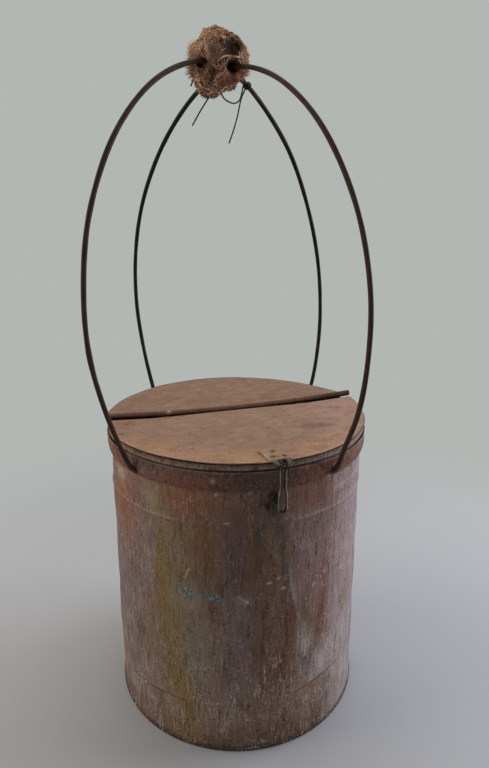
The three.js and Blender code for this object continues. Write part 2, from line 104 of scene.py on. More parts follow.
for name, lamp in LAMPS.items():
    light = bpy.data.lights.new(name, "AREA")
    light.size = lamp["wide"] * MM
    light.energy = lamp["watts"]
    light.color = srgb(lamp["hex"])[:3]
    lamp_object = bpy.data.objects.new(name, light)
    turn = math.radians(lamp["azimuth"])
    lamp_at = Vector((lamp["far"] * math.sin(turn), -lamp["far"] * math.cos(turn), lamp["height"])) * MM
    lamp_object.location = lamp_at
    lamp_object.rotation_euler = (LAMP_AIM - lamp_at).to_track_quat("-Z", "Y").to_euler()
    scene.collection.objects.link(lamp_object)

world = bpy.data.worlds.new("studio_air")
world.use_nodes = True
air = world.node_tree
air.nodes.clear()
even_light = add(air, "Background", {"Color": srgb(AIR_HEX), "Strength": AIR_LIGHT})
backdrop = add(air, "Background", {"Color": srgb(BACKDROP_HEX), "Strength": 1.0})
seen = add(air, "MixShader", {0: seen_directly(air), 1: even_light.outputs[0], 2: backdrop.outputs[0]})
add(air, "OutputWorld", {"Surface": seen.outputs[0]})
scene.world = world

# Floor
# A flat sheet under the can, painted matte grey. Far from the can it turns into the backdrop's colour, so
# that no edge shows.
FLOOR_HEX = "a9aaac"
FLOOR_HALF = 9000
FADE_FROM = 330  # mm from the can's axis
FADE_TO = 900


def new_material(name, rough, shine=0.5):
    """A node material with its roughness and its shine set: returns it, its tree, and its Principled shader
    linked to the output."""
    material = bpy.data.materials.new(name)
    material.use_nodes = True
    tree = material.node_tree
    tree.nodes.clear()
    shader = add(tree, "BsdfPrincipled", {"Roughness": rough, "Specular IOR Level": shine})
    add(tree, "OutputMaterial", {"Surface": shader.outputs[0]})
    return material, tree, shader


def to_object(name, points, faces, material, sharp=35):
    """Puts points in mm and faces into a mesh object in metres, without unused points or doubles, with its
    normals pointing out, smooth except across edges bent by more than the sharp angle."""
    mesh = bpy.data.meshes.new(name)
    points = np.asarray(points, float).reshape(-1, 3) * MM
    mesh.from_pydata(points.tolist(), [], [list(face) for face in faces])
    shape = bmesh.new()
    shape.from_mesh(mesh)
    bmesh.ops.delete(shape, geom=[v for v in shape.verts if not v.link_faces], context="VERTS")
    bmesh.ops.remove_doubles(shape, verts=shape.verts, dist=1e-7)
    bmesh.ops.recalc_face_normals(shape, faces=shape.faces)
    shape.to_mesh(mesh)
    shape.free()
    mesh.polygons.foreach_set("use_smooth", np.ones(len(mesh.polygons), bool))
    mesh.set_sharp_from_angle(angle=math.radians(sharp))
    mesh.materials.append(material)
    made = bpy.data.objects.new(name, mesh)
    scene.collection.objects.link(made)
    return made


floor_paint, tree, shader = new_material("matte_floor_paint", rough=0.9)
shader.inputs["Base Color"].default_value = srgb(FLOOR_HEX)
place = add(tree, "TexCoord").outputs["Object"]
far = add(tree, "VectorMath", {0: place}, operation="LENGTH").outputs["Value"]
limits = {"Value": far, 1: FADE_FROM * MM, 2: FADE_TO * MM}
fade = add(tree, "MapRange", limits, interpolation_type="SMOOTHSTEP").outputs[0]
share = add(tree, "Math", {0: fade, 1: seen_directly(tree)}, operation="MULTIPLY").outputs[0]
glow = add(tree, "Emission", {"Color": srgb(BACKDROP_HEX), "Strength": 1.0}).outputs[0]
surface = add(tree, "MixShader", {0: share, 1: shader.outputs[0], 2: glow}).outputs[0]
tree.links.new(surface, tree.nodes["Material Output"].inputs["Surface"])
floor_corners = np.array([[-1, -1, 0], [1, -1, 0], [1, 1, 0], [-1, 1, 0]]) * FLOOR_HALF
to_object("floor", floor_corners, [[0, 1, 2, 3]], floor_paint)

# Wall of the can
# One sheet of iron rolled up and lapped down the front left, with a shallow ring swaged under the mouth and
# its foot rolled outwards. It was painted once; rain has left it rusted and streaked from top to bottom.
FOOT_RADIUS = 147.6
MOUTH_RADIUS = 145.9
SHOULDER_Z = 305  # the wall tapers up to here
WALL_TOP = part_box("body_wall")[1].z / MM
SHEET = 1.0
FOOT_ROLL = 2.5  # radius of the rolled foot
FOOT_BULGE = 1.4
SWAGE_Z = 279
SWAGE_RISE = 1.1
SEAM_AZ = -60
SEAM_SWEEP = 10.2  # degrees over which the lap dies away
SEAM_STEP = 0.9
CREASE_Z = 62  # a crease runs round the lower part a little aslant
CREASE_TILT = 9
CREASE_DEEP = 0.9
DENTS = ((24, 58, 8, 12, 1.5), (-57, 44, 12, 10, 1.3))  # azimuth, height, half width and height, depth
BULGE = (-76, 304, 7, 9, 1.2)  # left of the hoops' front left foot


def wall_radius(z):
    """Straight taper from the foot to the shoulder, and a cylinder above it."""
    return FOOT_RADIUS + (MOUTH_RADIUS - FOOT_RADIUS) * np.minimum(z / SHOULDER_Z, 1)


def unit(vectors):
    """The same directions with a length of one."""
    return vectors / np.linalg.norm(vectors, axis=-1, keepdims=True)


def ripple(points, seed, count, shortest, longest):
    """Sum of plane waves in random directions, with wavelengths between shortest and longest in mm, scaled
    to about one in height. It has no seam, because it reads the point's place in space."""
    draw = np.random.default_rng(seed)
    direction = unit(draw.normal(size=(count, 3)))
    wave = direction * (2 * np.pi / np.exp(draw.uniform(np.log(shortest), np.log(longest), (count, 1))))
    phase = draw.uniform(0, 2 * np.pi, count)
    return np.cos(points @ wave.T + phase).sum(-1) / math.sqrt(count / 2)


def around(radius, azimuth, z):
    """Point at a radius and a height, azimuth in degrees from the hasp's side (-Y) towards +X."""
    turn = np.radians(azimuth)
    return np.stack(np.broadcast_arrays(radius * np.sin(turn), -radius * np.cos(turn), z), axis=-1)


def ridge(value, at, wide):
    """Smooth mound in one measure: the bell curve, one at its middle and dying away over its width."""
    return np.exp(-(((value - at) / wide) ** 2))


def hill(across, along, at_across, at_along, wide, tall):
    """Smooth mound in two measures: the product of a ridge in each."""
    return ridge(across, at_across, wide) * ridge(along, at_along, tall)


def step(value, nought, one):
    """Smooth rise or fall from nought at one value to one at the other: three squares less two cubes."""
    share = np.clip((value - nought) / (one - nought), 0, 1)
    return share * share * (3 - 2 * share)


def loop_faces(rows, columns, close_rows, close_columns):
    """Quads between neighbours on a grid, joined round in each direction that closes."""
    row = np.arange(rows if close_rows else rows - 1)[:, None]
    column = np.arange(columns if close_columns else columns - 1)[None, :]
    below = (row + 1) % rows * columns
    right = (column + 1) % columns
    corners = (row * columns + column, row * columns + right, below + right, below + column)
    return np.stack(np.broadcast_arrays(*corners), axis=-1).reshape(-1, 4)


def places(piece):
    """A piece's points in mm, and the same as azimuth in degrees and radius in mm."""
    flat = np.empty(len(piece.data.vertices) * 3, np.float32)
    piece.data.vertices.foreach_get("co", flat)
    points = flat.reshape(-1, 3).astype(float) / MM
    return points, np.degrees(np.arctan2(points[:, 0], -points[:, 1])), np.hypot(points[:, 0], points[:, 1])


def tint(piece, base, zones, scuffs=0.35):
    """Stores a colour for every point of a piece: the base colour, with each zone's laid over it in turn by
    the share that it has there. The alpha says how far the place is scuffed."""
    colour = np.tile(srgb(base), (len(piece.data.vertices), 1))
    for text, share in zones:
        colour += np.clip(share, 0, 1)[:, None] * (np.array(srgb(text)) - colour)
    colour[:, 3] = np.clip(scuffs, 0, 1)
    layer = piece.data.attributes.new("tint", "FLOAT_COLOR", "POINT")
    layer.data.foreach_set("color", colour.astype(np.float32).ravel())


GRIT = 2.6  # mm across a grain of rust, drawn coarser than the real one so that it shows
BLOOM = 34  # mm across a bloom of rust
AREA = 16  # mm across a rougher area


def rusted_iron(name, drawn, run_wide, fine_wide, hue, dark, pale, rough):
    """Rusted sheet: the piece's own tint, turned to ochre and mauve in broad runs, darkened in narrower ones,
    with fine dark and pale streaks, all drawn out in one direction; then the grit of the rust pits and
    flecks it and gives the bump. Some areas are rougher than others. Pale streaks and flecks show as far as
    the place is scuffed. The two widths are mm across a dark run and a fine streak."""
    material, tree, shader = new_material(name, rough, shine=0.2)
    place = add(tree, "TexCoord").outputs["Object"]
    along = add(tree, "Mapping", {"Vector": place, "Scale": drawn}).outputs[0]
    patch = add(tree, "Mapping", {"Vector": place, "Scale": tuple(np.sqrt(drawn))}).outputs[0]
    noise = {}
    for layer, where, wide in (
        ("bloom", place, BLOOM), ("hues", patch, 1.7 * run_wide), ("runs", along, run_wide),
        ("fine", along, fine_wide), ("grit", place, GRIT), ("pits", place, 3 * GRIT), ("areas", patch, AREA),
    ):
        sockets = {"Vector": where, "Scale": 1 / (wide * MM), "Detail": 5, "Roughness": 0.65}
        noise[layer] = add(tree, "TexNoise", sockets).outputs[0]
    own = add(tree, "Attribute", attribute_name="tint").outputs
    colour = own["Color"]
    scuffed = own["Alpha"]
    rough_area = add(tree, "MapRange", {"Value": noise["areas"], 1: 0.38, 2: 0.6, 3: 0.3, 4: 1.2}).outputs[0]
    for layer, low, high, most, text, shown in (
        ("bloom", 0.52, 0.7, 0.4, "74432c", None), ("hues", 0.53, 0.66, hue, "7d6234", None),
        ("hues", 0.46, 0.34, hue, "6a5a5e", None), ("runs", 0.47, 0.34, dark, "2c201b", None),
        ("pits", 0.42, 0.32, 0.4, "33221b", rough_area), ("fine", 0.49, 0.36, dark, "2c201b", rough_area),
        ("fine", 0.53, 0.66, 0.7 * pale, "c4b1a4", scuffed),
        ("grit", 0.46, 0.33, 2 * dark, "2a1d18", rough_area),
        ("grit", 0.56, 0.68, 0.9 * pale, "cdbcae", scuffed),
    ):
        share = add(tree, "MapRange", {"Value": noise[layer], 1: low, 2: high, 4: most}).outputs[0]
        blend = "COLOR" if layer == "hues" else "MIX"
        if shown is not None:
            share = add(tree, "Math", {0: share, 1: shown}, operation="MULTIPLY").outputs[0]
        sockets = {0: share, 6: colour, 7: srgb(text)}
        colour = add(tree, "Mix", sockets, data_type="RGBA", blend_type=blend).outputs[2]
    tree.links.new(colour, shader.inputs["Base Color"])
    relief = add(tree, "Math", {0: noise["grit"], 1: noise["fine"]}, operation="ADD").outputs[0]
    bump = add(tree, "Bump", {"Height": relief, "Distance": 0.5 * MM, "Strength": 0.7}).outputs[0]
    tree.links.new(bump, shader.inputs["Normal"])
    return material


def crease_height(azimuth):
    """Height of the crease: a sine wave of the azimuth, lower at the left and higher at the right."""
    return CREASE_Z + CREASE_TILT * np.sin(np.radians(azimuth + 8))


def crease_share(azimuth):
    """How sharp the crease is: a little all round, with a ridge at the front left and the front right."""
    return 0.2 + ridge(azimuth, -58, 17) + ridge(azimuth, 23, 11)


def wall_relief(azimuth, z):
    """How far the beaten sheet stands out of its true taper: the sum of swage, crease, dents, waves and a
    bulge. Crease, dents and waves die away at the foot and the shoulder."""
    place = around(wall_radius(z), azimuth, z)
    swage = SWAGE_RISE * ridge(z, SWAGE_Z, 2.6)
    crease = -CREASE_DEEP * crease_share(azimuth) * ridge(z, crease_height(azimuth), 1.5)
    dents = -sum(deep * hill(azimuth, z, *spot) for *spot, deep in DENTS)
    bulge = BULGE[4] * hill(azimuth, z, *BULGE[:4])
    waves = 0.55 * ripple(place, 3, 14, 60, 170) + 0.12 * ripple(place, 4, 16, 14, 40)
    loose = step(z, 8, 40) * step(z, SHOULDER_Z, SHOULDER_Z - 12)
    return swage + (crease + dents + waves) * loose + bulge * step(z, 311, 306)


front_az = np.linspace(-86, 54, 310)  # the marked side has finer steps than the back
back_az = (np.linspace(54, 274, 116)[1:-1] + 180) % 360 - 180
az = np.sort(np.concatenate([front_az, back_az, [SEAM_AZ - 0.12, SEAM_AZ - 0.02]]))
crease_z = crease_height(az)[None]
roll_turn = np.radians(np.linspace(-90, 90, 9))[:, None]
outer_z = np.concatenate([
    FOOT_ROLL + FOOT_ROLL * np.sin(roll_turn) + 0 * crease_z,
    6 + (crease_z - 12) * np.linspace(0, 1, 24)[:, None],
    crease_z + np.linspace(-4.5, 4.5, 10)[:, None],
    crease_z + 6 + (SWAGE_Z - 14 - crease_z) * np.linspace(0, 1, 96)[:, None],
    np.linspace(SWAGE_Z - 7, SWAGE_Z + 7, 19)[:, None] + 0 * crease_z,
    np.linspace(SWAGE_Z + 9, WALL_TOP, 22)[:, None] + 0 * crease_z,
])
inner_z = np.concatenate([np.linspace(WALL_TOP, 8, 26), [0]])[:, None]
lap = np.where((az >= SEAM_AZ - 0.05) & (az < SEAM_AZ + SEAM_SWEEP), 1 - (az - SEAM_AZ) / SEAM_SWEEP, 0)
lap_reach = step(outer_z, 5, 7) * step(outer_z, SHOULDER_Z + 4, SHOULDER_Z)
outer = wall_radius(outer_z) + wall_relief(az[None], outer_z) + SEAM_STEP * lap[None] * lap_reach
outer[:len(roll_turn)] += FOOT_BULGE * np.cos(roll_turn)
inner = wall_radius(inner_z) - SHEET + wall_relief(az[None], inner_z)
wall_grid = np.concatenate([around(outer, az[None], outer_z), around(inner, az[None], inner_z)])

# Old painted sheet iron: matte, dry rust that shows every run of rain, so its pattern is drawn out upright.
rusted_sheet = rusted_iron(
    "weathered_rusted_sheet_iron", drawn=(1, 1, 0.11), run_wide=5, fine_wide=2.2,
    hue=0.4, dark=0.38, pale=0.85, rough=0.8,
)

# What is left of the paint: grey-blue flakes with broken edges, chalky in places.
FLAKE = 7  # mm across a flake
tree = rusted_sheet.node_tree
shader = tree.nodes["Principled BSDF"]
rust = shader.inputs["Base Color"].links[0].from_socket
place = add(tree, "TexCoord").outputs["Object"]
painted = add(tree, "Attribute", attribute_name="painted").outputs["Fac"]
sockets = {"Vector": place, "Scale": 1 / (FLAKE * MM), "Detail": 6, "Roughness": 0.7}
chips = add(tree, "TexNoise", sockets).outputs[0]
chalk = add(tree, "TexNoise", {"Vector": place, "Scale": 3 / (FLAKE * MM), "Detail": 3}).outputs[0]
edge = add(tree, "Math", {0: painted, 1: chips}, operation="ADD").outputs[0]
share = add(tree, "MapRange", {"Value": edge, 1: 1.0, 2: 1.07, 4: 0.85}).outputs[0]
chalky = add(tree, "MapRange", {"Value": chalk, 1: 0.52, 2: 0.66}).outputs[0]
paint = add(tree, "Mix", {0: chalky, 6: srgb("59615e"), 7: srgb("a5acaa")}, data_type="RGBA").outputs[2]
colour = add(tree, "Mix", {0: share, 6: rust, 7: paint}, data_type="RGBA").outputs[2]
tree.links.new(colour, shader.inputs["Base Color"])

wall = to_object("can_wall", wall_grid, loop_faces(*wall_grid.shape[:2], True, True), rusted_sheet)
points, az_at, _ = places(wall)
z_at = points[:, 2]
streak = ripple(points * (1, 1, 0.07), 21, 40, 6, 46)  # ragged edges of the runs
ragged = az_at + 2.4 * streak + 1.2 * ripple(points, 22, 30, 14, 60)
calm = az_at + 0.35 * (ragged - az_at)
left_half = step(az_at, -175, -120)
right_half = step(az_at, 115, 70)
ochre_az = np.interp(z_at, [33, 71, 108, 144, 192, 241], [-38.8, -41.2, -44.6, -47.6, -49.2, -50.9])
ochre_wide = np.interp(z_at, [20, 130, 241], [5.6, 4.4, 2.5])
grey_az = np.interp(z_at, [120, 190, 250, 300], [7, 4, 0, -4])
scrape_az = np.interp(z_at, [97, 144, 185, 233], [16, 11.7, 7.9, 4.7])  # a pale scrape leans across the front
right_of_scrape = step(ragged, scrape_az + 1, scrape_az + 9)


def stroke(line, wide):
    """Share of a thin mark on the wall along a line of azimuths and heights: one on the line, dying away
    over its width in mm."""
    flat = np.stack([az_at * (np.pi / 180 * MOUTH_RADIUS), z_at], axis=1)
    line = np.asarray(line, float) * (np.pi / 180 * MOUTH_RADIUS, 1)
    share = np.zeros(len(flat))
    for start, end in zip(line[:-1], line[1:]):
        run = end - start
        along = np.clip((flat - start) @ run / (run @ run), 0, 1)
        share = np.maximum(share, np.exp(-(((flat - start - along[:, None] * run) ** 2).sum(1)) / wide ** 2))
    return share


scratches = [  # as azimuth and height
    [(-4.7, 211), (-2.6, 212)], [(-0.7, 215), (1.6, 216), (3.6, 213)], [(0.3, 204), (3, 203), (5, 199)],
    [(-1.4, 195), (-1.2, 193)], [(-18.6, 195), (-16, 197), (-14, 192)], [(-13, 192), (-11, 188), (-9.8, 193)],
    [(-16.5, 191), (-14.5, 187), (-12, 190)], [(-23.8, 192), (-22.6, 188), (-21.9, 190)],
    [(-21.4, 282), (-19.8, 282)], [(-25.2, 313), (-23.4, 312)], [(-13, 315), (-11.4, 315)],
    [(-38, 217), (-36.2, 227)], [(-28.9, 61), (-26, 62.5), (-23.3, 63)], [(-12.4, 14), (-9.4, 13)],
    [(-6.6, 10), (-2.6, 9)],
    [(-6, 126), (-5.4, 105), (-5, 87)], [(3, 282), (5.5, 285)], [(16, 190), (17.5, 197), (19, 193)],
]
ring_turn = np.radians(np.arange(0, 331, 30))
ring_mark = np.stack([-8.8 + 1.1 * np.cos(ring_turn), 78 + 3 * np.sin(ring_turn)], 1)
torn = ripple(points * (1, 1, 0.5), 25, 30, 3, 12)  # ragged edge of the near-black spot just left of the hasp loop
worn = np.clip(0.55 + 0.4 * ripple(points, 23, 40, 3, 9), 0, 1)  # no mark is whole
# Darker down the front middle than at the sides: partly the rust's own colour, partly painted shade.
tint(wall, "82695a", [
    ("796d6a", step(ragged, -55, -66) * left_half),
    ("8e5b4a", hill(calm, z_at, -74, 285, 13, 58)),
    ("8d8571", 0.95 * hill(calm, z_at, -52, 296, 4, 20)),
    ("84767c", 0.75 * hill(ragged, z_at, -57, 225, 3, 50)),
    ("7f6c4c", hill(calm, z_at, -43, 195, 9, 110)),
    ("8f5b44", hill(calm, z_at, -36, 305, 15, 20)),
    ("785a3f", hill(calm, z_at, -28, 245, 8, 80)),
    ("66514f", hill(calm, z_at, -17, 235, 6, 80)),
    ("664c36", hill(calm, z_at, -9, 240, 5, 75)),
    ("827a6c", hill(calm, z_at, -33, 125, 8, 60)),
    ("7a6b69", hill(calm, z_at, -16.5, 125, 7.5, 85)),
    ("5a4234", 0.45 * hill(calm, z_at, -5.5, 105, 5, 75)),
    ("7c5b4c", hill(ragged, z_at, 3, 90, 8, 60)),
    ("574d4b", hill(ragged, z_at, grey_az, 245, 4.5, 75)),
    ("82544a", hill(calm, z_at, 15, 300, 11, 24)),
    ("8a6f6c", right_of_scrape * right_half * (1 - hill(ragged, z_at, 15, 310, 12, 25))),
    ("a5928f", step(ragged, 22, 35) * right_half * (1 - 0.35 * step(z_at, 235, 285))),
    ("9c9496", step(ragged, 38, 58) * right_half * (1 - 0.4 * step(z_at, 150, 215))),
    ("b6b6bd", 0.4 * hill(calm, z_at, 47, 58, 12, 42)),
    ("7f4535", 0.9 * hill(calm, z_at, 22, 147, 4, 30) + 0.65 * hill(calm, z_at, 24, 200, 4.5, 26)),
    ("74493a", 0.8 * hill(calm, z_at, 6.5, 160, 3.5, 24) + 0.7 * hill(calm, z_at, 1, 110, 5, 34)),
    ("aca19b", 0.5 * ridge(calm, scrape_az, 1.0) * step(z_at, 85, 110) * step(z_at, 240, 215)),
    ("453e39", 0.65 * hill(calm, z_at, 14, 103, 2.2, 14)),
    ("b8b0ad", 0.9 * hill(calm, z_at - 0.8 * (az_at - 26), 26, 92, 11.5, 21)),
    ("a59a94", 0.5 * hill(calm, z_at, 13, 125, 3.5, 20)),
    ("716868", 0.7 * hill(calm, z_at, 27, 44, 8, 14)),
    ("a08d7c", 0.35 * step(z_at, 110, 30) * step(z_at, 12, 40)),
    ("735946", 0.6 * step(z_at + 9 * streak, 48, 12) * step(ragged, 40, 24)),
    ("80662c", 0.66 * ridge(calm, ochre_az, ochre_wide) * step(z_at, 275, 235)),
    ("a0824f", 0.45 * hill(calm, z_at, -38, 55, 4, 32)),
    ("938a7c", 0.5 * hill(calm, z_at, -38, 188, 7.5, 14)),
    ("8d7f7b", 0.45 * hill(az_at, z_at, -14.5, 192, 5, 5)),
    ("6d4a36", 0.7 * ridge(ragged, 130, 11) + 0.7 * ridge(ragged, -128, 12)),
    ("57473f", 0.6 * ridge(ragged, 168, 10) + 0.6 * ridge(ragged, -104, 7)),
    ("0a0706", (1.5 + 0.4 * torn) * hill(az_at + 0.5 * torn, z_at + 2 * torn, -2.6, 304.5, 2.8, 12)),
    ("b5a79c", 0.75 * hill(az_at, z_at, -76, 307, 5, 8)),
    ("b8a596", 0.45 * ridge(z_at, SWAGE_Z + 1, 1.2) * (step(ragged, 4, 16) + 0.6 * (ragged < -42))),
    ("d0c0b4", 0.7 * ridge(z_at, 298, 1.3) * step(ragged, 25, 32) * right_half),
    # painted shade along the crease
    ("2f241f", 0.8 * crease_share(az_at) * ridge(z_at, crease_height(az_at), 1.0)),
    ("3a2b24", 0.85 * step(z_at, 8, 3.5)),
    *(("d3c7bb", 0.85 * worn * stroke(line, 0.75)) for line in [*scratches, ring_mark]),
], scuffs=np.clip(0.8 + 0.5 * ripple(points, 24, 30, 12, 50), 0.1, 1.5) * (
    0.22 + 0.8 * hill(ragged, z_at, 26, 105, 10, 60) + 0.8 * hill(ragged, z_at, 22, 200, 10, 50)
    + 0.75 * hill(ragged, z_at, 9, 60, 12, 55) + 0.5 * step(z_at, 190, 50)
    + 0.25 * step(ragged, -45, -60) + 0.5 * hill(ragged, z_at, -34, 302, 10, 12)
))
painted = 0.86 * np.maximum.reduce([
    hill(az_at, z_at, -37.4, 197, 4, 10.5), hill(az_at, z_at + 0.6 * (az_at + 26.5), -26.5, 196, 7.6, 7.5),
    0.7 * hill(az_at, z_at, -42.5, 200, 3.6, 11),
])
layer = wall.data.attributes.new("painted", "FLOAT", "POINT")
layer.data.foreach_set("value", painted.astype(np.float32))


def fit(piece, node, body):
    """Has a piece stand for a CAD node, whose own mesh is hidden, and move with a body."""
    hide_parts(node)
    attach(piece, body)


fit(wall, "body_wall", "can")

# Bottom plate
# A disc of the same sheet with an upturned edge, soldered into the foot. It shows from below and through
# the open lid.
PLATE_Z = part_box("bottom_plate")[0].z / MM
PLATE_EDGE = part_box("bottom_plate")[1].z / MM
PLATE_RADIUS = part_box("bottom_plate")[1].x / MM


def turned(profile, azimuth):
    """A profile of radius and height pairs carried round the can's axis."""
    profile = np.asarray(profile, float)
    return around(profile[:, :1], np.asarray(azimuth)[None], profile[:, 1:])


ring = np.linspace(0, PLATE_RADIUS, 30)
plate_profile = np.concatenate([
    np.stack([ring, PLATE_Z + 0 * ring], 1), [[PLATE_RADIUS, PLATE_EDGE], [PLATE_RADIUS - SHEET, PLATE_EDGE]],
    np.stack([ring[::-1] - SHEET * (ring[::-1] > 0), PLATE_Z + SHEET + 0 * ring], 1),
])
plate_grid = turned(plate_profile, np.linspace(-180, 180, 160, endpoint=False))
plate_faces = loop_faces(*plate_grid.shape[:2], False, True)
plate = to_object("bottom_plate_disc", plate_grid, plate_faces, rusted_sheet)
tint(plate, "6a5548", [("4a3930", step(ripple(places(plate)[0], 31, 20, 20, 90), 0, 1.5))])
fit(plate, "bottom_plate", "can")

# Rim band
# A strip of heavier sheet shrunk round the mouth, its lower edge hammered in to the wall. The hoops' ends go
# through it low down, in holes that have rusted open.
BAND_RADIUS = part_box("rim_band")[1].x / MM
BAND_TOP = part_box("rim_band")[1].z / MM
BAND_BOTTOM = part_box("rim_band")[0].z / MM
BAND_TURN = 329  # below this the band curves in to the wall
BAND_TIP = MOUTH_RADIUS + 0.3
HOOP_FEET = (-61.5, 124, 24.5, -152)  # azimuths at which the hoops go in
HOOP_FOOT_Z = 322

# Thick rust scale on a heavier strip: coarse, dark and nearly without direction, orange where water runs off.
rusted_band = rusted_iron(
    "scaled_rusty_strip_iron", drawn=(1, 1, 0.5), run_wide=9, fine_wide=3,
    hue=0.15, dark=0.4, pale=0.5, rough=0.75,
)

az = np.linspace(-180, 180, 720, endpoint=False)
turn_in = np.radians(np.linspace(90, 0, 14))
outside = np.stack([
    BAND_RADIUS - (BAND_RADIUS - BAND_TIP - SHEET) * (1 - np.cos(turn_in)),
    BAND_TURN - (BAND_TURN - BAND_BOTTOM) * np.sin(turn_in),
], 1)
outside = np.concatenate([outside, [[BAND_RADIUS, z] for z in (331, 333, 335, 336.5, BAND_TOP - 0.5)]])
inside = outside[::-1] - (SHEET, 0)
lip = [[BAND_RADIUS - 0.35, BAND_TOP], [BAND_RADIUS - SHEET + 0.3, BAND_TOP]]
band_profile = np.concatenate([outside, lip, inside])
band_z = band_profile[:, 1:] + 0 * az
band_place = around(BAND_RADIUS, az[None], band_z)
beaten = 0.3 * ripple(band_place, 5, 14, 30, 110) + 0.13 * ripple(band_place, 6, 24, 7, 18)
dimples = sum(hill(az[None], band_z, foot, HOOP_FOOT_Z, 1.9, 4.5) for foot in HOOP_FEET)
swell = 0.5 * step(band_z, 318, 325) * (0.6 + beaten) - 1.3 * dimples * step(band_z, 318, 321)
band_grid = around(band_profile[:, :1] + swell, az[None], band_z)
band = to_object("rim_band_strip", band_grid, loop_faces(*band_grid.shape[:2], True, True), rusted_band)
points, az_at, _ = places(band)
z_at = points[:, 2]
blotch = ripple(points, 33, 40, 8, 46)
ragged = az_at + 3 * blotch
right_side = step(az_at, 2, 9)
dark_at_feet = sum(hill(az_at, z_at, foot, HOOP_FOOT_Z - 0.5, 2.4, 5) for foot in HOOP_FEET)
tint(band, "74493a", [
    ("6b5651", hill(ragged, z_at, -54, 328, 6, 14)),
    ("5b4541", 0.8 * step(z_at + 1.5 * blotch, 329, 335) * step(ragged, -12, -22)),
    ("57423d", step(ragged, -30, -14) * step(ragged, 9, 2)),
    ("694437", step(ragged, 2, 9)),
    ("9c5c3e", 0.75 * step(ripple(points, 34, 60, 2.8, 7), 0.5, 1.5) * right_side),
    ("41302b", 0.7 * step(ripple(points, 38, 60, 2.8, 9), 0.5, 1.4) * right_side * step(az_at, 34, 24)),
    ("7c503e", 0.9 * step(ragged, 24, 40)),
    ("98827a", 0.3 * step(ragged, 36, 54) * step(z_at, 328, 335)),
    ("7d5542", step(ragged, -68, -82)),
    ("8b7466", 0.6 * step(z_at, BAND_TOP - 1.2, BAND_TOP - 0.2)),
    ("b5a294", 0.8 * hill(az_at, z_at, -25.5, 329, 0.8, 2.6)),
    # near-black round each hoop's foot, where the rod goes in
    ("241917", 1.3 * dark_at_feet),
    ("c4b3a3", 0.9 * hill(az_at, z_at, 22.4, 318.6, 1.1, 1.6)),
])
fit(band, "rim_band", "can")

# Lid: rear half
# A half disc of thin sheet fixed to the can. Its front edge climbs a short ramp and is rolled over a pin, and
# the old roll sags in the middle. Two slots in the roll take the knuckles of the front half.
LID_RADIUS = 150
LID_TOP = 348
SHEET_MID = LID_TOP - SHEET / 2
HINGE_Y = 12
ROLL_MID = 2.95  # radius of the rolled sheet's middle
HINGE_Z = SHEET_MID + ROLL_MID
RAMP = 11  # length of the climb to the roll
ROLL_ENDS = np.array([corner.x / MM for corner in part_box("rear_lid")])
ROLL_BOW = 5  # how far the middle lies below the ends
ROLL_BLEND = 60  # mm of sheet that follow the sag
KNUCKLE_X = 86
KNUCKLE_HALF = 7
SLOT_HALF = 7.6
SLOT_REACH = 6.5  # behind the hinge line


def roll_bow(x):
    """Height of the sagging roll over the straight hinge axis: a parabola through the knuckles."""
    return ROLL_BOW * (x * x - KNUCKLE_X * KNUCKLE_X) / LID_RADIUS ** 2


def sheet_faces(present):
    """Faces of a sheet with two sides on a grid of cells: a quad on each side of every cell that is present,
    and a quad through the thickness wherever a present cell has no neighbour."""
    rows, columns = present.shape
    stride = columns + 1
    side = (rows + 1) * stride
    row, column = np.nonzero(present)
    a = row * stride + column
    b, c, d = a + 1, a + stride + 1, a + stride
    faces = [np.stack([a, b, c, d], 1), np.stack([d, c, b, a], 1) + side]
    padded = np.pad(present, 1)
    for (down, right), first, second in (((-1, 0), a, b), ((0, 1), b, c), ((1, 0), c, d), ((0, -1), d, a)):
        edge = ~padded[row + 1 + down, column + 1 + right]
        faces.append(np.stack([second, first, first + side, second + side], 1)[edge])
    return np.concatenate(faces)


def thickened(x, y, z, thickness):
    """Both sides of a bent sheet: its middle surface, moved half the thickness each way at right angles to
    the line that runs down each column."""
    x, y, z = np.broadcast_arrays(x, y, z)
    ahead_y, ahead_z = np.gradient(y, axis=0), np.gradient(z, axis=0)
    half = thickness / 2 / np.hypot(ahead_y, ahead_z)
    return np.stack([
        np.stack([x, y + sign * ahead_z * half, z - sign * ahead_y * half], axis=-1) for sign in (-1, 1)
    ])


def lid_waves(x, y):
    """How far the loose sheet stands up from flat: long shallow waves that never go below it."""
    flat = np.stack(np.broadcast_arrays(x, y, 0 * x), axis=-1)
    return 0.3 * np.clip(1 + ripple(flat, 7, 12, 50, 140), 0, 2) + 0.06 * (2 + ripple(flat, 8, 20, 9, 25))


# Dusty rusted sheet: a film of tan dust over even rust, brushed across the lid when it is wiped.
dusty_sheet = rusted_iron(
    "dusty_rusted_lid_sheet", drawn=(0.5, 1, 1), run_wide=7, fine_wide=1.8,
    hue=0.1, dark=0.15, pale=0.35, rough=0.9,
)

slot_edges = [side * KNUCKLE_X + edge * SLOT_HALF for side in (-1, 1) for edge in (-1, 1)]
x = ROLL_ENDS.mean() + np.ptp(ROLL_ENDS) / 2 * np.sin(np.radians(np.linspace(-90, 90, 121)))
x = np.sort(np.concatenate([x, slot_edges]))[None]
rim = np.maximum(np.sqrt(np.maximum(LID_RADIUS ** 2 - x * x, 0)), HINGE_Y + RAMP + 1.5)
flat_y = HINGE_Y + RAMP + (rim - HINGE_Y - RAMP) * np.linspace(1, 0, 34)[:-1, None]
slot_along = (RAMP - SLOT_REACH) / RAMP
below_slot = np.linspace(0, slot_along, 6)
climb = np.concatenate([below_slot, np.linspace(slot_along, 1, 9)[1:-1]])
curl = np.radians(np.linspace(90, 325, 26))
edge_y = np.concatenate([HINGE_Y + RAMP * (1 - climb), HINGE_Y + ROLL_MID * np.cos(curl)])
edge_z = HINGE_Z + ROLL_MID * np.concatenate([2 * step(climb, 0, 1) - 1, np.sin(curl)])
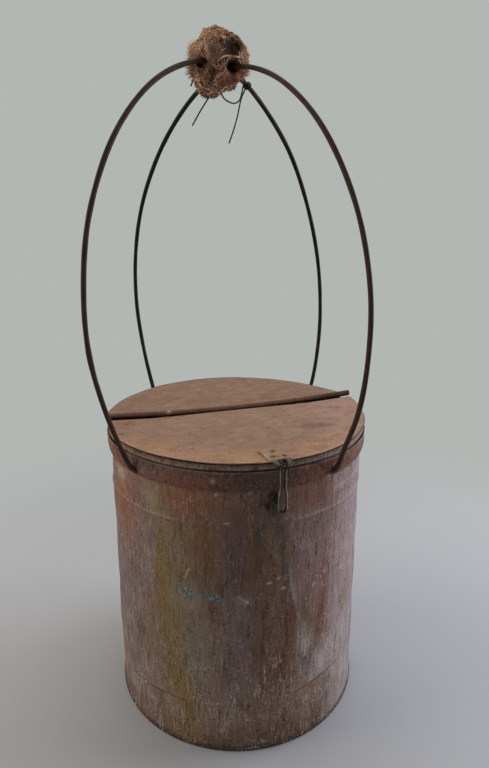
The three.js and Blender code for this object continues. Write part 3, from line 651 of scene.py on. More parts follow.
y = np.concatenate([flat_y, edge_y[:, None] + 0 * x])
waves = lid_waves(x, flat_y) * step(flat_y, HINGE_Y + RAMP, HINGE_Y + RAMP + 25)
z = np.concatenate([SHEET_MID + waves, edge_z[:, None] + 0 * x])
z = z + roll_bow(x) * step(y, HINGE_Y + ROLL_BLEND, HINGE_Y)
middle_x = (x[0, 1:] + x[0, :-1]) / 2
in_slot = np.abs(np.abs(middle_x) - KNUCKLE_X) < SLOT_HALF
present = np.ones((y.shape[0] - 1, y.shape[1] - 1), bool)
present[len(flat_y) + len(below_slot) - 1:, in_slot] = False
rear_lid = to_object("rear_lid_sheet", thickened(x, y, z, SHEET), sheet_faces(present), dusty_sheet)


def lid_tint(piece):
    """Colours of the lid: tan dust, more orange at the front rim, brown on the roll, with smudges and pale
    rubbed places, a darker edge at the back and the right, a painted highlight along the front edge and
    painted shade under the front of the roll."""
    points, _, radius = places(piece)
    x, y, z = points.T
    blotch = ripple(points * (0.4, 1, 1), 35, 40, 6, 60)
    rubbed = ripple(points * (0.3, 1, 1), 36, 40, 3, 14)
    smudge = sum(hill(x, y, *spot, 12, 3.5) for spot in ((60, -71), (70, -76), (85, -74), (76, -68)))
    height = z - roll_bow(x) * (y > HINGE_Y - 4)
    roll = step(height, LID_TOP + 1.4, LID_TOP + 2.2) * (np.abs(y - HINGE_Y - 3) < 9)
    edge = step(radius, LID_RADIUS - 1.4, LID_RADIUS - 0.3)
    painted_shade_under_roll = step(height, HINGE_Z + 0.8, HINGE_Z - 0.5) * (np.abs(y - HINGE_Y + 2) < 2.1)
    tint(piece, "8d705c", [
        ("856755", step(y, 5, 25)),
        ("a87f60", 0.8 * step(radius + 4 * blotch, 106, 140) * step(y, -30, -80) * step(x, 118, 70)),
        ("a68577", 0.6 * step(x + 8 * blotch, 40, 120) * (y < 5)),
        ("ab9080", 0.25 * step(rubbed, 0.3, 1.4)),
        ("7a5d49", 0.4 * step(blotch, 0.4, 1.7)),
        ("4e3d36", 0.5 * smudge * (0.5 + 0.5 * (rubbed > -0.3))),
        ("5f4235", 0.95 * roll),
        ("3f322e", 0.85 * roll * step(x, 96, 122)),
        # painted shade under the front of the roll
        ("2b1811", painted_shade_under_roll),
        ("cbb09a", 0.95 * hill(x, z, -79, 353, 2.2, 2.4) * roll),
        # painted highlight along the front edge
        ("b4937a", 0.6 * edge * (y < 5) * step(x, 100, 60)),
        ("47372f", 0.8 * edge * np.maximum(step(y, 5, 20), step(x, 70, 120))),
    ], scuffs=0.3)


lid_tint(rear_lid)
fit(rear_lid, "rear_lid", "can")

# Lid skirts
# Two strips of the band's iron bent to an angle and rolled to the lid's curve, one under each half. Their
# lower edges carry a painted highlight, broken in places, and a near-black band at their top under the lid's
# edge is painted shade.
SKIRT_RADIUS = 148.8
SKIRT_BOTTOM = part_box("flap_skirt")[0].z / MM
SKIRT_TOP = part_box("flap_skirt")[1].z / MM
SKIRT_SHEET = 0.9
FLANGE_RADIUS = 145
skirt_inner = SKIRT_RADIUS - SKIRT_SHEET
skirt_profile = np.array([
    [skirt_inner, SKIRT_BOTTOM], [SKIRT_RADIUS, SKIRT_BOTTOM], [SKIRT_RADIUS, SKIRT_BOTTOM + 1.2],
    [SKIRT_RADIUS, SKIRT_TOP - 1.8], [SKIRT_RADIUS, SKIRT_TOP - 1.1], [SKIRT_RADIUS - 0.6, SKIRT_TOP - 0.6],
    [SKIRT_RADIUS - 2, SKIRT_TOP], [FLANGE_RADIUS, SKIRT_TOP], [FLANGE_RADIUS, SKIRT_TOP - SKIRT_SHEET],
    [skirt_inner - 1.2, SKIRT_TOP - SKIRT_SHEET], [skirt_inner, SKIRT_TOP - SKIRT_SHEET - 1.2],
])
for name, node, body, cut_y, faces_front in (
    ("rear_skirt_strip", "rear_skirt", "can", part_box("rear_skirt")[0].y / MM, False),
    ("flap_skirt_strip", "flap_skirt", "flap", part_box("flap_skirt")[1].y / MM, True),
):
    reach = np.degrees(np.arccos(-cut_y / skirt_profile[:, :1]))
    share = np.linspace(-1, 1, 241)[None]
    az = reach * share if faces_front else 180 + (180 - reach) * share
    skirt_grid = around(skirt_profile[:, :1], az, skirt_profile[:, 1:])
    rows, columns = skirt_grid.shape[:2]
    ends = [np.arange(rows) * columns, np.arange(rows)[::-1] * columns + columns - 1]
    skirt = to_object(name, skirt_grid, [*loop_faces(rows, columns, True, False), *ends], rusted_band)
    points, az_at, _ = places(skirt)
    blotch = ripple(points, 37, 40, 8, 50)
    ragged = az_at + 4 * blotch
    tint(skirt, "6b584c", [
        ("6f4e40", step(ragged, -30, -48)),
        ("564b45", ridge(ragged, -8, 14)),
        ("8a7067", step(ragged, 8, 25)),
        # painted highlight along the lower edge, broken in places
        ("a39081", 0.7 * step(points[:, 2], SKIRT_BOTTOM + 1.9, SKIRT_BOTTOM + 0.9) * (blotch > -0.8)),
        # painted shade in the gap under the lid's edge
        ("0f0a08", 0.95 * step(points[:, 2], SKIRT_TOP - 1.8, SKIRT_TOP - 1.1)),
    ])
    fit(skirt, node, body)

# Hinge pin
# A length of iron rod, thinner than the hoops', pushed through the roll and the knuckles. It has bent with
# the sagging roll.
PIN_RADIUS = 2.0


def tubes(paths, radius, sides):
    """Round bars along several paths at once, paths being bar by station by place: a ring stands square to
    each station, carried on from the ring before it without twist, and the ends are capped."""
    paths = np.asarray(paths, float)
    count, stations = paths.shape[:2]
    ahead = unit(np.gradient(paths, axis=1))
    aside = np.empty_like(ahead)
    last = np.cross(ahead[:, 0], ahead[:, 0][:, [1, 2, 0]] + (0.3, -0.2, 0.1))
    for station in range(stations):
        last = unit(last - ahead[:, station] * (last * ahead[:, station]).sum(1, keepdims=True))
        aside[:, station] = last
    over = np.cross(ahead, aside)
    turn = (2 * np.pi * np.arange(sides) / sides)[:, None]
    ring = np.cos(turn) * aside[:, :, None] + np.sin(turn) * over[:, :, None]
    radius = np.broadcast_to(radius, (count, stations))[:, :, None, None]
    points = paths[:, :, None] + radius * ring
    first = np.arange(count)[:, None, None] * stations * sides
    quads = (first + loop_faces(stations, sides, False, True)).reshape(-1, 4)
    cap = np.stack([np.arange(sides)[::-1], np.arange(sides) + (stations - 1) * sides])
    caps = (first + cap).reshape(-1, sides)
    return points.reshape(-1, 3), [*quads, *caps]


# Blackened iron rod: mill scale worn to a dull brown-black, with rust coming through in patches.
ROD_PATCH = 14  # mm across a patch of rust
ROD_GRAIN = 1.6  # mm across a grain of scale, coarser than the real one so that it shows
black_rod, tree, shader = new_material("blackened_rusty_iron_rod", rough=0.65, shine=0.15)
place = add(tree, "TexCoord").outputs["Object"]
sockets = {"Vector": place, "Scale": 1 / (ROD_PATCH * MM), "Detail": 5, "Roughness": 0.65}
patch = add(tree, "TexNoise", sockets)
grain = add(tree, "TexNoise", {"Vector": place, "Scale": 1 / (ROD_GRAIN * MM), "Detail": 3})
colour = add(tree, "Attribute", attribute_name="tint").outputs["Color"]
for noise, low, high, most, text in (
    (patch, 0.52, 0.68, 0.4, "52382a"), (patch, 0.44, 0.3, 0.5, "120c0a"), (grain, 0.6, 0.72, 0.25, "7a6457"),
):
    share = add(tree, "MapRange", {"Value": noise.outputs[0], 1: low, 2: high, 4: most}).outputs[0]
    colour = add(tree, "Mix", {0: share, 6: colour, 7: srgb(text)}, data_type="RGBA").outputs[2]
tree.links.new(colour, shader.inputs["Base Color"])
bump = add(tree, "Bump", {"Height": grain.outputs[0], "Distance": 0.25 * MM, "Strength": 0.6}).outputs[0]
tree.links.new(bump, shader.inputs["Normal"])

x = np.linspace(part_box("hinge_pin")[0].x / MM + 0.2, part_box("hinge_pin")[1].x / MM - 0.2, 60)
pin_path = np.stack([x, HINGE_Y + 0 * x, HINGE_Z + roll_bow(x)], 1)
pin = to_object("hinge_pin_rod", *tubes(pin_path[None], PIN_RADIUS, 16), black_rod)
tint(pin, "40312a", [])
fit(pin, "hinge_pin", "can")

# Lid: hinged front half
# The other half disc, loose in front of the roll. It turns on the pin by two knuckles, tongues of the same
# sheet that run under the pin and are curled up behind it.
FLAP_SETBACK = (4.6, 8.4)  # from the hinge line to the edge, in the middle and at the ends
FLAP_FOLLOWS = 1.15  # the ends have been bent up with the roll
FLAP_CORNER = 89.6  # degrees: the outline's ends are blunt
HASP_PATCH = (0, -138)  # the sheet is flat under the hasp plate
KNUCKLE_SHEET = SHEET - 0.06  # a little thinner, so that no two faces lie in one plane


def joined(parts):
    """One list of points and one of faces from several."""
    start = np.cumsum([0] + [len(part.reshape(-1, 3)) for part, _ in parts])
    points = np.concatenate([part.reshape(-1, 3) for part, _ in parts])
    return points, [face + offset for (_, faces), offset in zip(parts, start) for face in faces]


x = LID_RADIUS * np.sin(np.radians(np.linspace(-FLAP_CORNER, FLAP_CORNER, 141)))[None]
edge = np.sqrt(LID_RADIUS ** 2 - x * x)
setback = FLAP_SETBACK[0] + (FLAP_SETBACK[1] - FLAP_SETBACK[0]) * (x / LID_RADIUS) ** 2
rear = np.minimum(HINGE_Y - setback, edge)
y = rear - (rear + edge) * (np.linspace(0, 1, 46) ** 1.3)[:, None]
fade = step((HINGE_Y - y - setback) / (ROLL_BLEND - setback), 1, 0)
calm = step(rear - y, 0, 30) * (1 - hill(x, y, *HASP_PATCH, 26, 26))
z = SHEET_MID + FLAP_FOLLOWS * np.maximum(roll_bow(x), 0) * fade + lid_waves(x, y) * calm
flap_parts = [(thickened(x, y, z, SHEET), sheet_faces(np.ones((y.shape[0] - 1, y.shape[1] - 1), bool)))]
curl = np.radians(np.linspace(200, -90, 30))
tongue_y = np.linspace(HINGE_Y - 1, HINGE_Y - 8, 6)
knuckle_y = np.concatenate([HINGE_Y + ROLL_MID * np.cos(curl), tongue_y])[:, None]
knuckle_z = np.concatenate([HINGE_Z + ROLL_MID * np.sin(curl), SHEET_MID + 0 * tongue_y])[:, None]
for side in (-1, 1):
    x = side * KNUCKLE_X + np.linspace(-KNUCKLE_HALF, KNUCKLE_HALF, 6)[None]
    sides = thickened(x, knuckle_y, knuckle_z, KNUCKLE_SHEET)
    flap_parts.append((sides, sheet_faces(np.ones((len(knuckle_y) - 1, x.shape[1] - 1), bool))))
flap = to_object("lid_flap_sheet", *joined(flap_parts), dusty_sheet)
lid_tint(flap)
fit(flap, "lid_flap", "flap")

# Hasp plate
# A small plate cut from strip, riveted to the flap, its end bent down over the rim and slotted for the loop.
# Its rear left corner has lifted off the lid, and it is as dusty as the lid.
HASP_PLATE = 1.2
HASP_REAR = 122  # in front of the can's axis
HASP_BEND = 149.6
HASP_DROOP = 20  # degrees
HASP_LIP = 7.7  # length past the bend
HASP_SLOT = (0.75, 3.9)  # from the bend
HASP_SLOT_HALF = 4
HASP_Z = LID_TOP + 0.3 + HASP_PLATE / 2
HASP_LIFT = 0.8  # of the rear left corner
flat_length = HASP_BEND - HASP_REAR
along = np.concatenate([
    np.linspace(0, flat_length - 1.5, 22), np.linspace(flat_length - 1, flat_length + 0.6, 6),
    flat_length + np.linspace(*HASP_SLOT, 6), flat_length + np.linspace(4.3, HASP_LIP, 7),
])
droop = np.radians(HASP_DROOP) * step(along, flat_length - 1, flat_length + 1)
stride = np.diff(along, prepend=along[0])
plate_y = -HASP_REAR - np.cumsum(stride * np.cos(droop))
plate_z = HASP_Z - np.cumsum(stride * np.sin(droop))
corners = [0, 2.8, flat_length, flat_length + HASP_LIP - 1.5, flat_length + HASP_LIP]
left = np.interp(along, corners, [13.5, 15.5, 11.5, 7, 5])[:, None]
right = np.interp(along, corners, [12.5, 14.5, 11.5, 7, 5])[:, None]
s = np.linspace(-1, 1, 25)[None]
outward = np.clip(2 * np.abs(s) - 1, 0, 1)
reach = np.where(s < 0, left, right)
x = np.sign(s) * (np.minimum(np.abs(s), 0.5) * 2 * HASP_SLOT_HALF + (reach - HASP_SLOT_HALF) * outward)
lift = HASP_LIFT * step(-x, 3, 15) * step(along, 22, 1)[:, None]
y = plate_y[:, None] + 0 * x
z = plate_z[:, None] + lift
present = np.ones((len(along) - 1, s.shape[1] - 1), bool)
slot_rows = (along[1:] > flat_length + HASP_SLOT[0]) & (along[:-1] < flat_length + HASP_SLOT[1] - 1e-6)
present[np.ix_(slot_rows, np.abs(s[0, 1:] + s[0, :-1]) < 1)] = False
hasp = to_object("hasp_plate_sheet", thickened(x, y, z, HASP_PLATE), sheet_faces(present), dusty_sheet)
points = places(hasp)[0]
tint(hasp, "957660", [
    ("6c5a4e", step(-points[:, 1], HASP_BEND - 1, HASP_BEND + 2)),
    # painted highlight along the lifted left edge
    ("c0a48e", 0.7 * hill(points[:, 0], points[:, 1], -12.4, -141, 1.6, 9)),
    ("745743", 0.4 * step(ripple(points, 39, 30, 4, 15), 0.6, 1.6)),
    # painted shade at the slot's near edge and on the strap under the loop's hooks
    ("0d0907", 1.2 * hill(points[:, 0], points[:, 1], 0, -HASP_BEND - 0.7, 4.2, 1.2)),
    ("1d1411", 1.2 * hill(points[:, 0], points[:, 1], 0, -HASP_BEND - 5, 3, 3)),
])
fit(hasp, "hasp_plate", "flap")

# Hasp rivets
# Three soft iron rivets with domed heads, hammered through the plate and the lid. The lid's dust lies on
# them too.
RIVETS = ((-0.9, 129), (-5.9, 142), (5.5, 142))  # x, and distance in front of the axis
RIVET_HEAD = 2.5
RIVET_SHANK = 1.3
RIVET_RISE = 1.4
rivet_top = np.radians(np.linspace(0, 90, 7))
seat = HASP_Z + HASP_PLATE / 2 + 0.3
below = LID_TOP - SHEET - 0.3
rivet_profile = np.concatenate([
    [[0, below - 1], [RIVET_SHANK + 0.6, below - 0.8], [RIVET_SHANK + 0.9, below], [RIVET_SHANK, below]],
    [[RIVET_SHANK, seat]],
    np.stack([RIVET_HEAD * np.cos(rivet_top), seat + RIVET_RISE * np.sin(rivet_top)], 1),
])
for number, (x, forward) in enumerate(RIVETS, 1):
    rivet_grid = turned(rivet_profile, np.linspace(0, 360, 20, endpoint=False)) + (x, -forward, 0)
    rivet_faces = loop_faces(*rivet_grid.shape[:2], False, True)
    rivet = to_object(f"hasp_rivet_{number}_head", rivet_grid, rivet_faces, dusty_sheet)
    tint(rivet, "8b6c57", [])
    fit(rivet, f"hasp_rivet_{number}", "flap")

# Hasp loop
# One length of wire bent into a long eye, its two ends hooked over the strap at the end of the plate. Its
# outer sides carry a painted highlight and its inner sides painted shade, and it is painted dark as shade
# where it comes out of the slot.
HASP_WIRE = 1.2
HASP_LENGTH = 52.5  # from the strap to the lowest point
LOOP_SHANK = 2.35  # half the distance between the two wires
LOOP_EYE = 3.7
STRAP_Y = -155.05  # the loop swings on the middle of the strap
STRAP_Z = 346.916


def smooth_path(points, count):
    """Even steps along the centripetal Catmull-Rom curve through the points, whose knots lie the square root
    of each distance apart."""
    points = np.asarray(points, float)
    padded = np.concatenate([[2 * points[0] - points[1]], points, [2 * points[-1] - points[-2]]])
    knot = np.sqrt(np.linalg.norm(np.diff(padded, axis=0), axis=1))[:, None]
    p0, p1, p2, p3 = (padded[i:len(padded) - 3 + i] for i in range(4))
    k0, k1, k2 = (knot[i:len(knot) - 2 + i] for i in range(3))
    start = ((p1 - p0) / k0 - (p2 - p0) / (k0 + k1) + (p2 - p1) / k1) * k1
    end = ((p2 - p1) / k1 - (p3 - p1) / (k1 + k2) + (p3 - p2) / k2) * k1
    t = np.linspace(0, 1, 24, endpoint=False)[:, None, None]
    curve = p1 * (2 * t ** 3 - 3 * t ** 2 + 1) + start * (t ** 3 - 2 * t ** 2 + t)
    curve = curve + p2 * (3 * t ** 2 - 2 * t ** 3) + end * (t ** 3 - t ** 2)
    curve = np.concatenate([curve.transpose(1, 0, 2).reshape(-1, 3), points[-1:]])
    length = np.concatenate([[0], np.cumsum(np.linalg.norm(np.diff(curve, axis=0), axis=1))])
    even = np.linspace(0, length[-1], count)
    return np.stack([np.interp(even, length, axis) for axis in curve.T], axis=1)


hook = math.hypot((HASP_LIP - HASP_SLOT[1]) / 2, HASP_PLATE / 2) + 0.3 + HASP_WIRE
hook_turn = np.radians(np.arange(230, -40.1, -22.5))
eye_turn = np.radians([25, 55, 90])
eye_low = -HASP_LENGTH + HASP_WIRE + LOOP_EYE + 0.8
half_loop = np.concatenate([
    np.stack([LOOP_SHANK + 0 * hook_turn, hook * np.cos(hook_turn), hook * np.sin(hook_turn)], 1),
    [[LOOP_SHANK, 0.6, -5.4], [LOOP_SHANK, 0, -8.5], [LOOP_SHANK, 0, -18], [LOOP_SHANK, 0, -27]],
    [[LOOP_EYE - 0.3, 0, -31.5], [LOOP_EYE, 0, -35], [LOOP_EYE, 0, eye_low]],
    np.stack([LOOP_EYE * np.cos(eye_turn), 0 * eye_turn, eye_low - (LOOP_EYE + 0.8) * np.sin(eye_turn)], 1),
])
whole_loop = np.concatenate([half_loop, half_loop[-2::-1] * (-1, 1, 1)])
loop_path = smooth_path(whole_loop * (1, -1, 1) + (0, STRAP_Y, STRAP_Z), 260)
loop = to_object("hasp_loop_wire", *tubes(loop_path[None], HASP_WIRE, 12), black_rod)
points = places(loop)[0]
half_wide = np.interp(STRAP_Z - points[:, 2], [27, 35], [LOOP_SHANK, LOOP_EYE])
lit = np.abs(points[:, 0]) - half_wide + 0.3 * np.sign(points[:, 0])
hooked = step(points[:, 2], 336, 343)
tint(loop, "594843", [
    # painted highlight on the outer sides, painted shade on the inner sides
    ("a3948c", step(lit, 0.2, 1.0) * (1 - 0.6 * hooked)),
    ("2a201d", step(-lit, 0.3, 1.1)),
    # painted shade where the hooks sit in the slot
    ("1d1411", 0.7 * hooked),
])
fit(loop, "hasp_loop", "hasp")

# Carrying hoops
# Two iron rods bent by hand into tall hoops that cross over the can. Each end goes in through the band and
# the wall and is spread inside.
ROD_RADIUS = 2.5
HOOP_FOOT_RADIUS = 152.8  # from the can's axis to the rod beside the band
FOOT_BEND = ((-11.5, 0), (-5, 0.2), (0.6, 4.5))  # from the foot, outwards along the chord and up
FOOT_LEAN = np.array([1, 1, 1, 0.45, 0.15])[:, None]  # share of the shift aside, from the foot up
HEAD_LENGTH = 1.6
HEAD_GAP = 0.7
HEAD_SWELL = np.array([1.0, 1.3, 1.4, 1.2, 0.7])  # how far the spread end stands out of the rod
# Of each hoop: the azimuths of its feet, how many degrees aside they stand, and its run as distance along the
# chord between the feet, and height.
HOOPS = {
    "hoop_a": ((-63.5, 124), (2, 0), [
        (-163, 352), (-178, 398), (-189, 450), (-190, 505), (-179, 572), (-148, 640), (-107, 686), (-66, 710),
        (-22, 720.2), (19, 710.4), (64, 682), (108, 640), (146, 578), (171, 510), (180, 440), (176, 388),
        (165, 346),
    ]),
    "hoop_b": ((22, -152), (2.5, 0), [
        (-164, 350), (-181, 395), (-189, 450), (-187, 510), (-169, 577), (-133, 640), (-95, 679),
        (-54, 703.8), (-9, 714.6), (36, 706), (81, 682), (129, 640), (169, 582), (189, 520), (192, 455),
        (180, 395), (164, 350),
    ]),
}
hoop_paths = {}
for name, (feet, aside, run) in HOOPS.items():
    first, second = (around(HOOP_FOOT_RADIUS, foot, 0) for foot in feet)
    half = np.linalg.norm(second - first) / 2
    foot = [(half + out, HOOP_FOOT_Z + rise) for out, rise in FOOT_BEND]
    line = np.array([*((-u, z) for u, z in foot), *run, *reversed(foot)])
    line = (first + second) / 2 + line[:, :1] * unit(second - first) + line[:, 1:] * (0, 0, 1)
    bent = len(FOOT_LEAN)
    line[:bent] += FOOT_LEAN * (around(HOOP_FOOT_RADIUS, feet[0] + aside[0], 0) - first)
    line[-bent:] += FOOT_LEAN[::-1] * (around(HOOP_FOOT_RADIUS, feet[1] + aside[1], 0) - second)
    hoop_paths[name] = smooth_path(line, 2001)
    path = hoop_paths[name][::5]
    parts = [tubes(path[None], ROD_RADIUS * (1 + 0.03 * ripple(path, 9, 12, 25, 90)), 14)]
    for end in path[[0, -1]]:
        head_radius = MOUTH_RADIUS - SHEET - HEAD_GAP - HEAD_LENGTH * np.linspace(0, 1, len(HEAD_SWELL))
        head = unit(end * (1, 1, 0)) * head_radius[:, None] + (0, 0, end[2])
        parts.append(tubes(head[None], ROD_RADIUS + HEAD_SWELL, 18))
    hoop = to_object(name + "_rod", *joined(parts), black_rod)
    _, y, z = places(hoop)[0].T
    tint(hoop, "3a2721", [("150e0c", step(y, 0, 60)), ("4e3428", step(z, 350, 322))])
    fit(hoop, name, "can")

# Binding wire
# Thin soft iron wire: a lashing holds the hoops together inside the wad, and its loose ends stick out. The
# long end is wound twice round the rear right leg and hangs from it.
TIE_WIRE = 0.8
CROSSING = np.array([-11.2, 5, 715.9])
LASHING = (7.2, 8, 2.1)  # half sizes across, up and along
LASHING_TURN = math.radians(-17)
WRAP_AT = 0.55  # share of the hoop's length
WRAP_PITCH = 2.3
TWO_TURNS = 720  # degrees
wire_turn = np.radians(np.linspace(0, TWO_TURNS, 29))[:, None]
across = np.array([math.cos(LASHING_TURN), math.sin(LASHING_TURN), 0])
advance = LASHING[2] * np.cross([0, 0, 1], across)
lashing = CROSSING + LASHING[0] * across * np.cos(wire_turn) + (0, 0, LASHING[1]) * np.sin(wire_turn)
lashing = lashing + advance * np.linspace(-1, 1, len(wire_turn))[:, None]
wrapped = hoop_paths["hoop_a"]
wrap_station = round(WRAP_AT * (len(wrapped) - 1))
rod_along = unit(wrapped[wrap_station + 1] - wrapped[wrap_station - 1])
rod_side = unit(np.cross([0, 0, 1], rod_along))
rod_over = np.cross(rod_along, rod_side)
coil_turn = np.radians(np.linspace(0, TWO_TURNS, 21) + 90)[:, None]
coil = (ROD_RADIUS + TIE_WIRE + 0.3) * (rod_side * np.sin(coil_turn) + rod_over * np.cos(coil_turn))
coil = wrapped[wrap_station] + coil + rod_along * WRAP_PITCH * np.linspace(-1, 1, len(coil_turn))[:, None]
TIES = {
    "crossing_tie": lashing,
    "tie_wire_long": [
        (-14, 6, 696), (-9.5, 7.5, 688.8), (2.7, 13.8, 685.6), (11.5, 20.5, 690.5), *coil,
        (15.2, 26.5, 693), (10, 23.5, 675.5), (4.4, 20.6, 660), (-1.4, 18, 646.7),
    ],
    "tie_wire_short": [(-22, 7.8, 697), (-25.8, 7.9, 689.2), (-35.5, 6.7, 675), (-44.3, 5.2, 661.1)],
    "tie_wire_stub": [(-35, 15, 714), (-39.2, 16.2, 706.6), (-42.3, 17.1, 700.1)],
}
for name, route in TIES.items():
    tie_path = smooth_path(route, 12 * len(route))
    tie = to_object(name + "_wire", *tubes(tie_path[None], TIE_WIRE, 8), black_rod)
    tint(tie, "3f2b22", [])
    fit(tie, name, "can")

# Coir grip
# A wad of coconut fibre wound round the crossing to carry the can by. It has felted into a lump with a hole
# where each front leg comes out, a hollow above the right one and a smooth pad between them. Its fibres stand
# out at the sides, and one thicker strand runs across it.
GRIP_AT = np.array([-15.6, 4.8, 721.5])
GRIP_FACES = np.array([-0.261, -0.943, -0.206])  # the way the side with the holes looks
GRIP_DEEP = 27  # half of its depth
GRIP_OUTLINE = (  # seen from that side: degrees from the right, and how far the wad reaches
    (5, 29.3), (16, 29.6), (39, 26.2), (55, 27.8), (74, 27.6), (100, 30.4), (114, 28.8), (126, 28),
    (141, 28.4), (160, 27.6), (172, 25.2), (188, 26), (201, 27), (210, 28.5), (220, 30), (231, 33.2),
    (244, 33.2), (256, 32.4), (264, 29.6), (279, 25.4), (303, 26), (313, 25), (327, 25.6), (340, 26.5),
    (352, 27.8),
)
GRIP_HOLLOWS = (  # across, up, half width, half height, depth
    (14, 12.5, 9, 9, 12), (13, -4.5, 5.5, 5.2, 18), (-17.5, -1, 6.5, 5.6, 16),
)
GRIP_PAD = (-6.5, 8.8, 9, 11.5, 3)
GRIP_BRUSH = (  # degrees from the right, spread, length, number of fibres
    (188, 8, 9, 260), (172, 5, 7, 120), (159, 5, 8, 110), (340, 5, 7, 150), (12, 16, 4.2, 200),
    (45, 25, 3, 100), (128, 20, 3, 120), (245, 16, 4, 130), (300, 20, 3.5, 90),
)
GRIP_STRAND = ((-4, -1), (0, 2.2), (6, 5.4), (13, 5.5), (20, 4.4), (25, 3.4))  # across, up
STRAND_RADIUS = 0.65
FELT_FIBRES = 2900
FELT_REACH = 29  # how far from the wad's middle the fibres usually lie
FELT_LUMPS = 30  # mm that one unit of direction counts for in the lumps
FIBRE_RADIUS = 0.32
FIBRE_STATIONS = 7
FIBRE_SIDES = 3
BRUSH_ROOT = 1.5  # mm that a loose fibre starts inside the wad

grip_across = unit(np.cross([0, 0, 1], GRIP_FACES))
grip_axes = np.array([grip_across, np.cross(unit(GRIP_FACES), grip_across), unit(GRIP_FACES)])


def press(across, up, spot):
    """Share of a dent or a pad on the wad's front: the bell curve of the squared distance in its oval, so one
    inside it, falling away at the edge."""
    return np.exp(-((((across - spot[0]) / spot[2]) ** 2 + ((up - spot[1]) / spot[3]) ** 2) ** 2))


def grip_reach(across, up):
    """How far the wad's outline reaches in the direction of a place on its front: the mean over a small arc,
    so that the outline is round."""
    angle = np.degrees(np.arctan2(up, across))
    outline = np.transpose(GRIP_OUTLINE)
    return sum(np.interp(angle + turn, *outline, period=360) for turn in (-8, -4, 0, 4, 8)) / 5


def grip_point(direction, lift):
    """Point on the wad in a direction of its own axes, lifted off it: the outline, rounded to the front and
    the back, dented and padded on the front, with a felted roughness."""
    reach = grip_reach(direction[..., 0], direction[..., 1])
    size = 1 + 0.03 * ripple(direction * FELT_LUMPS, 41, 30, 6, 22)
    place = direction * np.stack([reach, reach, GRIP_DEEP + 0 * reach], axis=-1) * size[..., None]
    dent = sum(spot[4] * press(place[..., 0], place[..., 1], spot) for spot in GRIP_HOLLOWS)
    dent = dent - GRIP_PAD[4] * press(place[..., 0], place[..., 1], GRIP_PAD)
    place[..., 2] -= dent * step(direction[..., 2], 0, 0.35)
    return GRIP_AT + (place + direction * np.asarray(lift)[..., None]) @ grip_axes


# Coir: stiff brown fibre, dull, each one a little lighter or darker than the next.
MOTTLE = 5  # mm across a darker tuft
coir, tree, shader = new_material("felted_coir_fibre", rough=0.9, shine=0.15)
place = add(tree, "TexCoord").outputs["Object"]
mottle = add(tree, "TexNoise", {"Vector": place, "Scale": 1 / (MOTTLE * MM), "Detail": 4}).outputs[0]
colour = add(tree, "Attribute", attribute_name="tint").outputs["Color"]
share = add(tree, "MapRange", {"Value": mottle, 1: 0.48, 2: 0.34, 4: 0.4}).outputs[0]
colour = add(tree, "Mix", {0: share, 6: colour, 7: srgb("553a2b")}, data_type="RGBA").outputs[2]
tree.links.new(colour, shader.inputs["Base Color"])
bump = add(tree, "Bump", {"Height": mottle, "Distance": 0.6 * MM}).outputs[0]
tree.links.new(bump, shader.inputs["Normal"])

# The wad's core: a finely divided ball, pressed to shape.
ball = bmesh.new()
bmesh.ops.create_icosphere(ball, subdivisions=6, radius=1)
core_mesh = bpy.data.meshes.new("wad_core")
ball.to_mesh(core_mesh)
ball.free()
core = np.empty(len(core_mesh.vertices) * 3, np.float32)
core_mesh.vertices.foreach_get("co", core)
core_faces = np.empty(len(core_mesh.loops), np.int32)
core_mesh.loops.foreach_get("vertex_index", core_faces)
bpy.data.meshes.remove(core_mesh)
core, core_faces = core.reshape(-1, 3).astype(float), core_faces.reshape(-1, 3)

# Felted fibres: short swaying arcs that lie on the wad, most of them round it.
draw = np.random.default_rng(12)
middle = unit(draw.normal(size=(3 * FELT_FIBRES, 3)))
heading = draw.normal(size=middle.shape) + 1.3 * np.cross([0, 0, 1], middle)
heading = unit(heading - middle * (heading * middle).sum(1, keepdims=True))
bend = np.cross(middle, heading)
along = np.linspace(-1, 1, FIBRE_STATIONS)[None, :, None]
swing = draw.uniform(0.1, 0.42, (len(middle), 1, 1)) * along
sway = draw.normal(0, 0.1, (len(middle), 1, 1)) * (along ** 2 - 0.5)
felt = unit(np.cos(swing) * middle[:, None] + np.sin(swing) * heading[:, None] + sway * bend[:, None])
across, up = FELT_REACH * felt[..., 0], FELT_REACH * felt[..., 1]
bare = sum(press(across, up, spot) for spot in GRIP_HOLLOWS) + 0.8 * press(across, up, GRIP_PAD)
bare = (bare * (felt[..., 2] > 0)).max(1)  # no fibre lies across a hollow, and few on the pad
kept = np.nonzero(bare < draw.uniform(0.25, 0.9, len(middle)))[0][:FELT_FIBRES]
felt, middle = felt[kept], middle[kept]
felt_lift = draw.uniform(-0.1, 1.2, (FELT_FIBRES, 1))
felt_lift = felt_lift + 1.4 * draw.random((FELT_FIBRES, 1)) * along[..., 0] ** 4  # the ends come off the wad
felt_paths = grip_point(felt, felt_lift)

# Loose fibres: straight bristles that stand out at the sides.
angle = np.radians(np.concatenate([draw.normal(at, spread, count) for at, spread, _, count in GRIP_BRUSH]))
long = np.concatenate([length * draw.uniform(0.35, 1, count) for _, _, length, count in GRIP_BRUSH])
forward = draw.normal(0, 0.3, len(angle))
root = unit(np.stack([np.cos(angle), np.sin(angle), forward], 1))
lean_angle = angle + draw.normal(0, 0.25, len(angle))
lean_forward = 0.6 * forward + draw.normal(0, 0.2, len(angle))
lean = unit(np.stack([np.cos(lean_angle), np.sin(lean_angle) - 0.12, lean_forward], 1))
out = np.linspace(0, 1, FIBRE_STATIONS)[None, :, None] * (long[:, None, None] + BRUSH_ROOT)
brush_paths = grip_point(root, -BRUSH_ROOT)[:, None] + out * (lean @ grip_axes)[:, None]

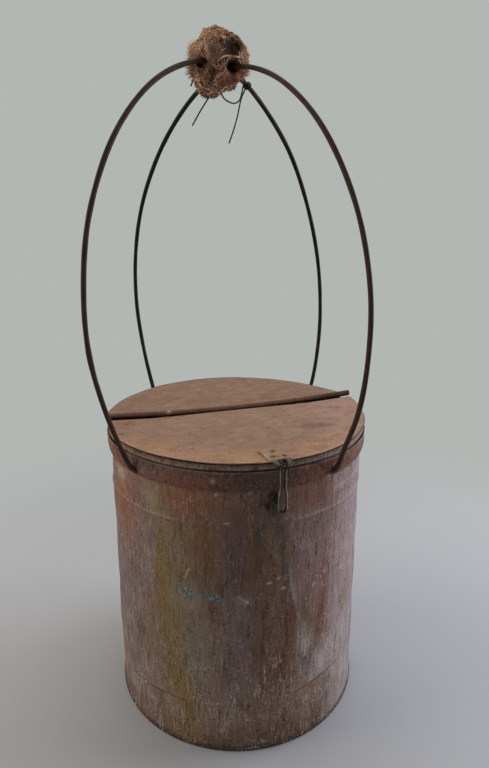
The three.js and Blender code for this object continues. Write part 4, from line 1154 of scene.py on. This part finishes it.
# The thicker strand, laid on the wad's front.
strand = np.array(GRIP_STRAND, float)
strand_deep = GRIP_DEEP * np.sqrt(np.maximum(1 - (strand ** 2).sum(1) / grip_reach(*strand.T) ** 2, 0)) + 0.8
strand_path = smooth_path(GRIP_AT + np.column_stack([strand, strand_deep]) @ grip_axes, 50)

parts = [
    (grip_point(core, 0), core_faces),
    tubes(felt_paths, FIBRE_RADIUS, FIBRE_SIDES),
    tubes(brush_paths, FIBRE_RADIUS * np.linspace(1, 0.5, FIBRE_STATIONS)[None], FIBRE_SIDES),
    tubes(strand_path[None], STRAND_RADIUS, 6),
]
grip = to_object("coir_grip_wad", *joined(parts), coir)
bunch = 0.3 * ripple(FELT_LUMPS * middle, 44, 30, 6, 16)  # neighbours are alike
points = places(grip)[0]
fibre_points = FIBRE_STATIONS * FIBRE_SIDES
light = np.concatenate([  # nought for the wad's core, up to one for the palest fibres
    np.zeros(len(core)),
    np.repeat(np.clip(draw.uniform(0.1, 0.9, FELT_FIBRES) + bunch, 0.05, 1), fibre_points),
    np.repeat(draw.uniform(0.3, 1, len(angle)), fibre_points),
    np.ones(len(parts[-1][0])),
])
across, up, forward = ((points - GRIP_AT) @ grip_axes.T).T
outline = grip_reach(across, up)
bulge = GRIP_DEEP * np.sqrt(np.maximum(1 - (across ** 2 + up ** 2) / outline ** 2, 0))
inside = step(bulge - forward, 2, 7) * (forward > -8) * sum(press(across, up, spot) for spot in GRIP_HOLLOWS)
patch = ripple(points, 43, 30, 4, 18)
tint(grip, "4f3629", [
    ("a97e62", step(light, 0.1, 0.45)),
    ("ebc5a2", step(light, 0.5, 0.95)),
    ("4d3528", 0.7 * step(patch, 0.3, 1.5)),
    ("94705e", 0.9 * press(across, up, GRIP_PAD) * (forward > 0)),
    ("a9705a", 0.55 * hill(across, up, 14, -15, 10, 8)),
    # painted highlight on the right and upper left edges
    ("e6c2a0", 0.55 * step(across, 19, 28) * step(up, -8, 0) + 0.6 * step(up - across, 16, 36)),
    # painted shade inside the hollows and the holes
    ("2a1b15", inside * (1 - 0.35 * press(across, up, GRIP_HOLLOWS[0]))),
])
fit(grip, "coir_grip", "can")
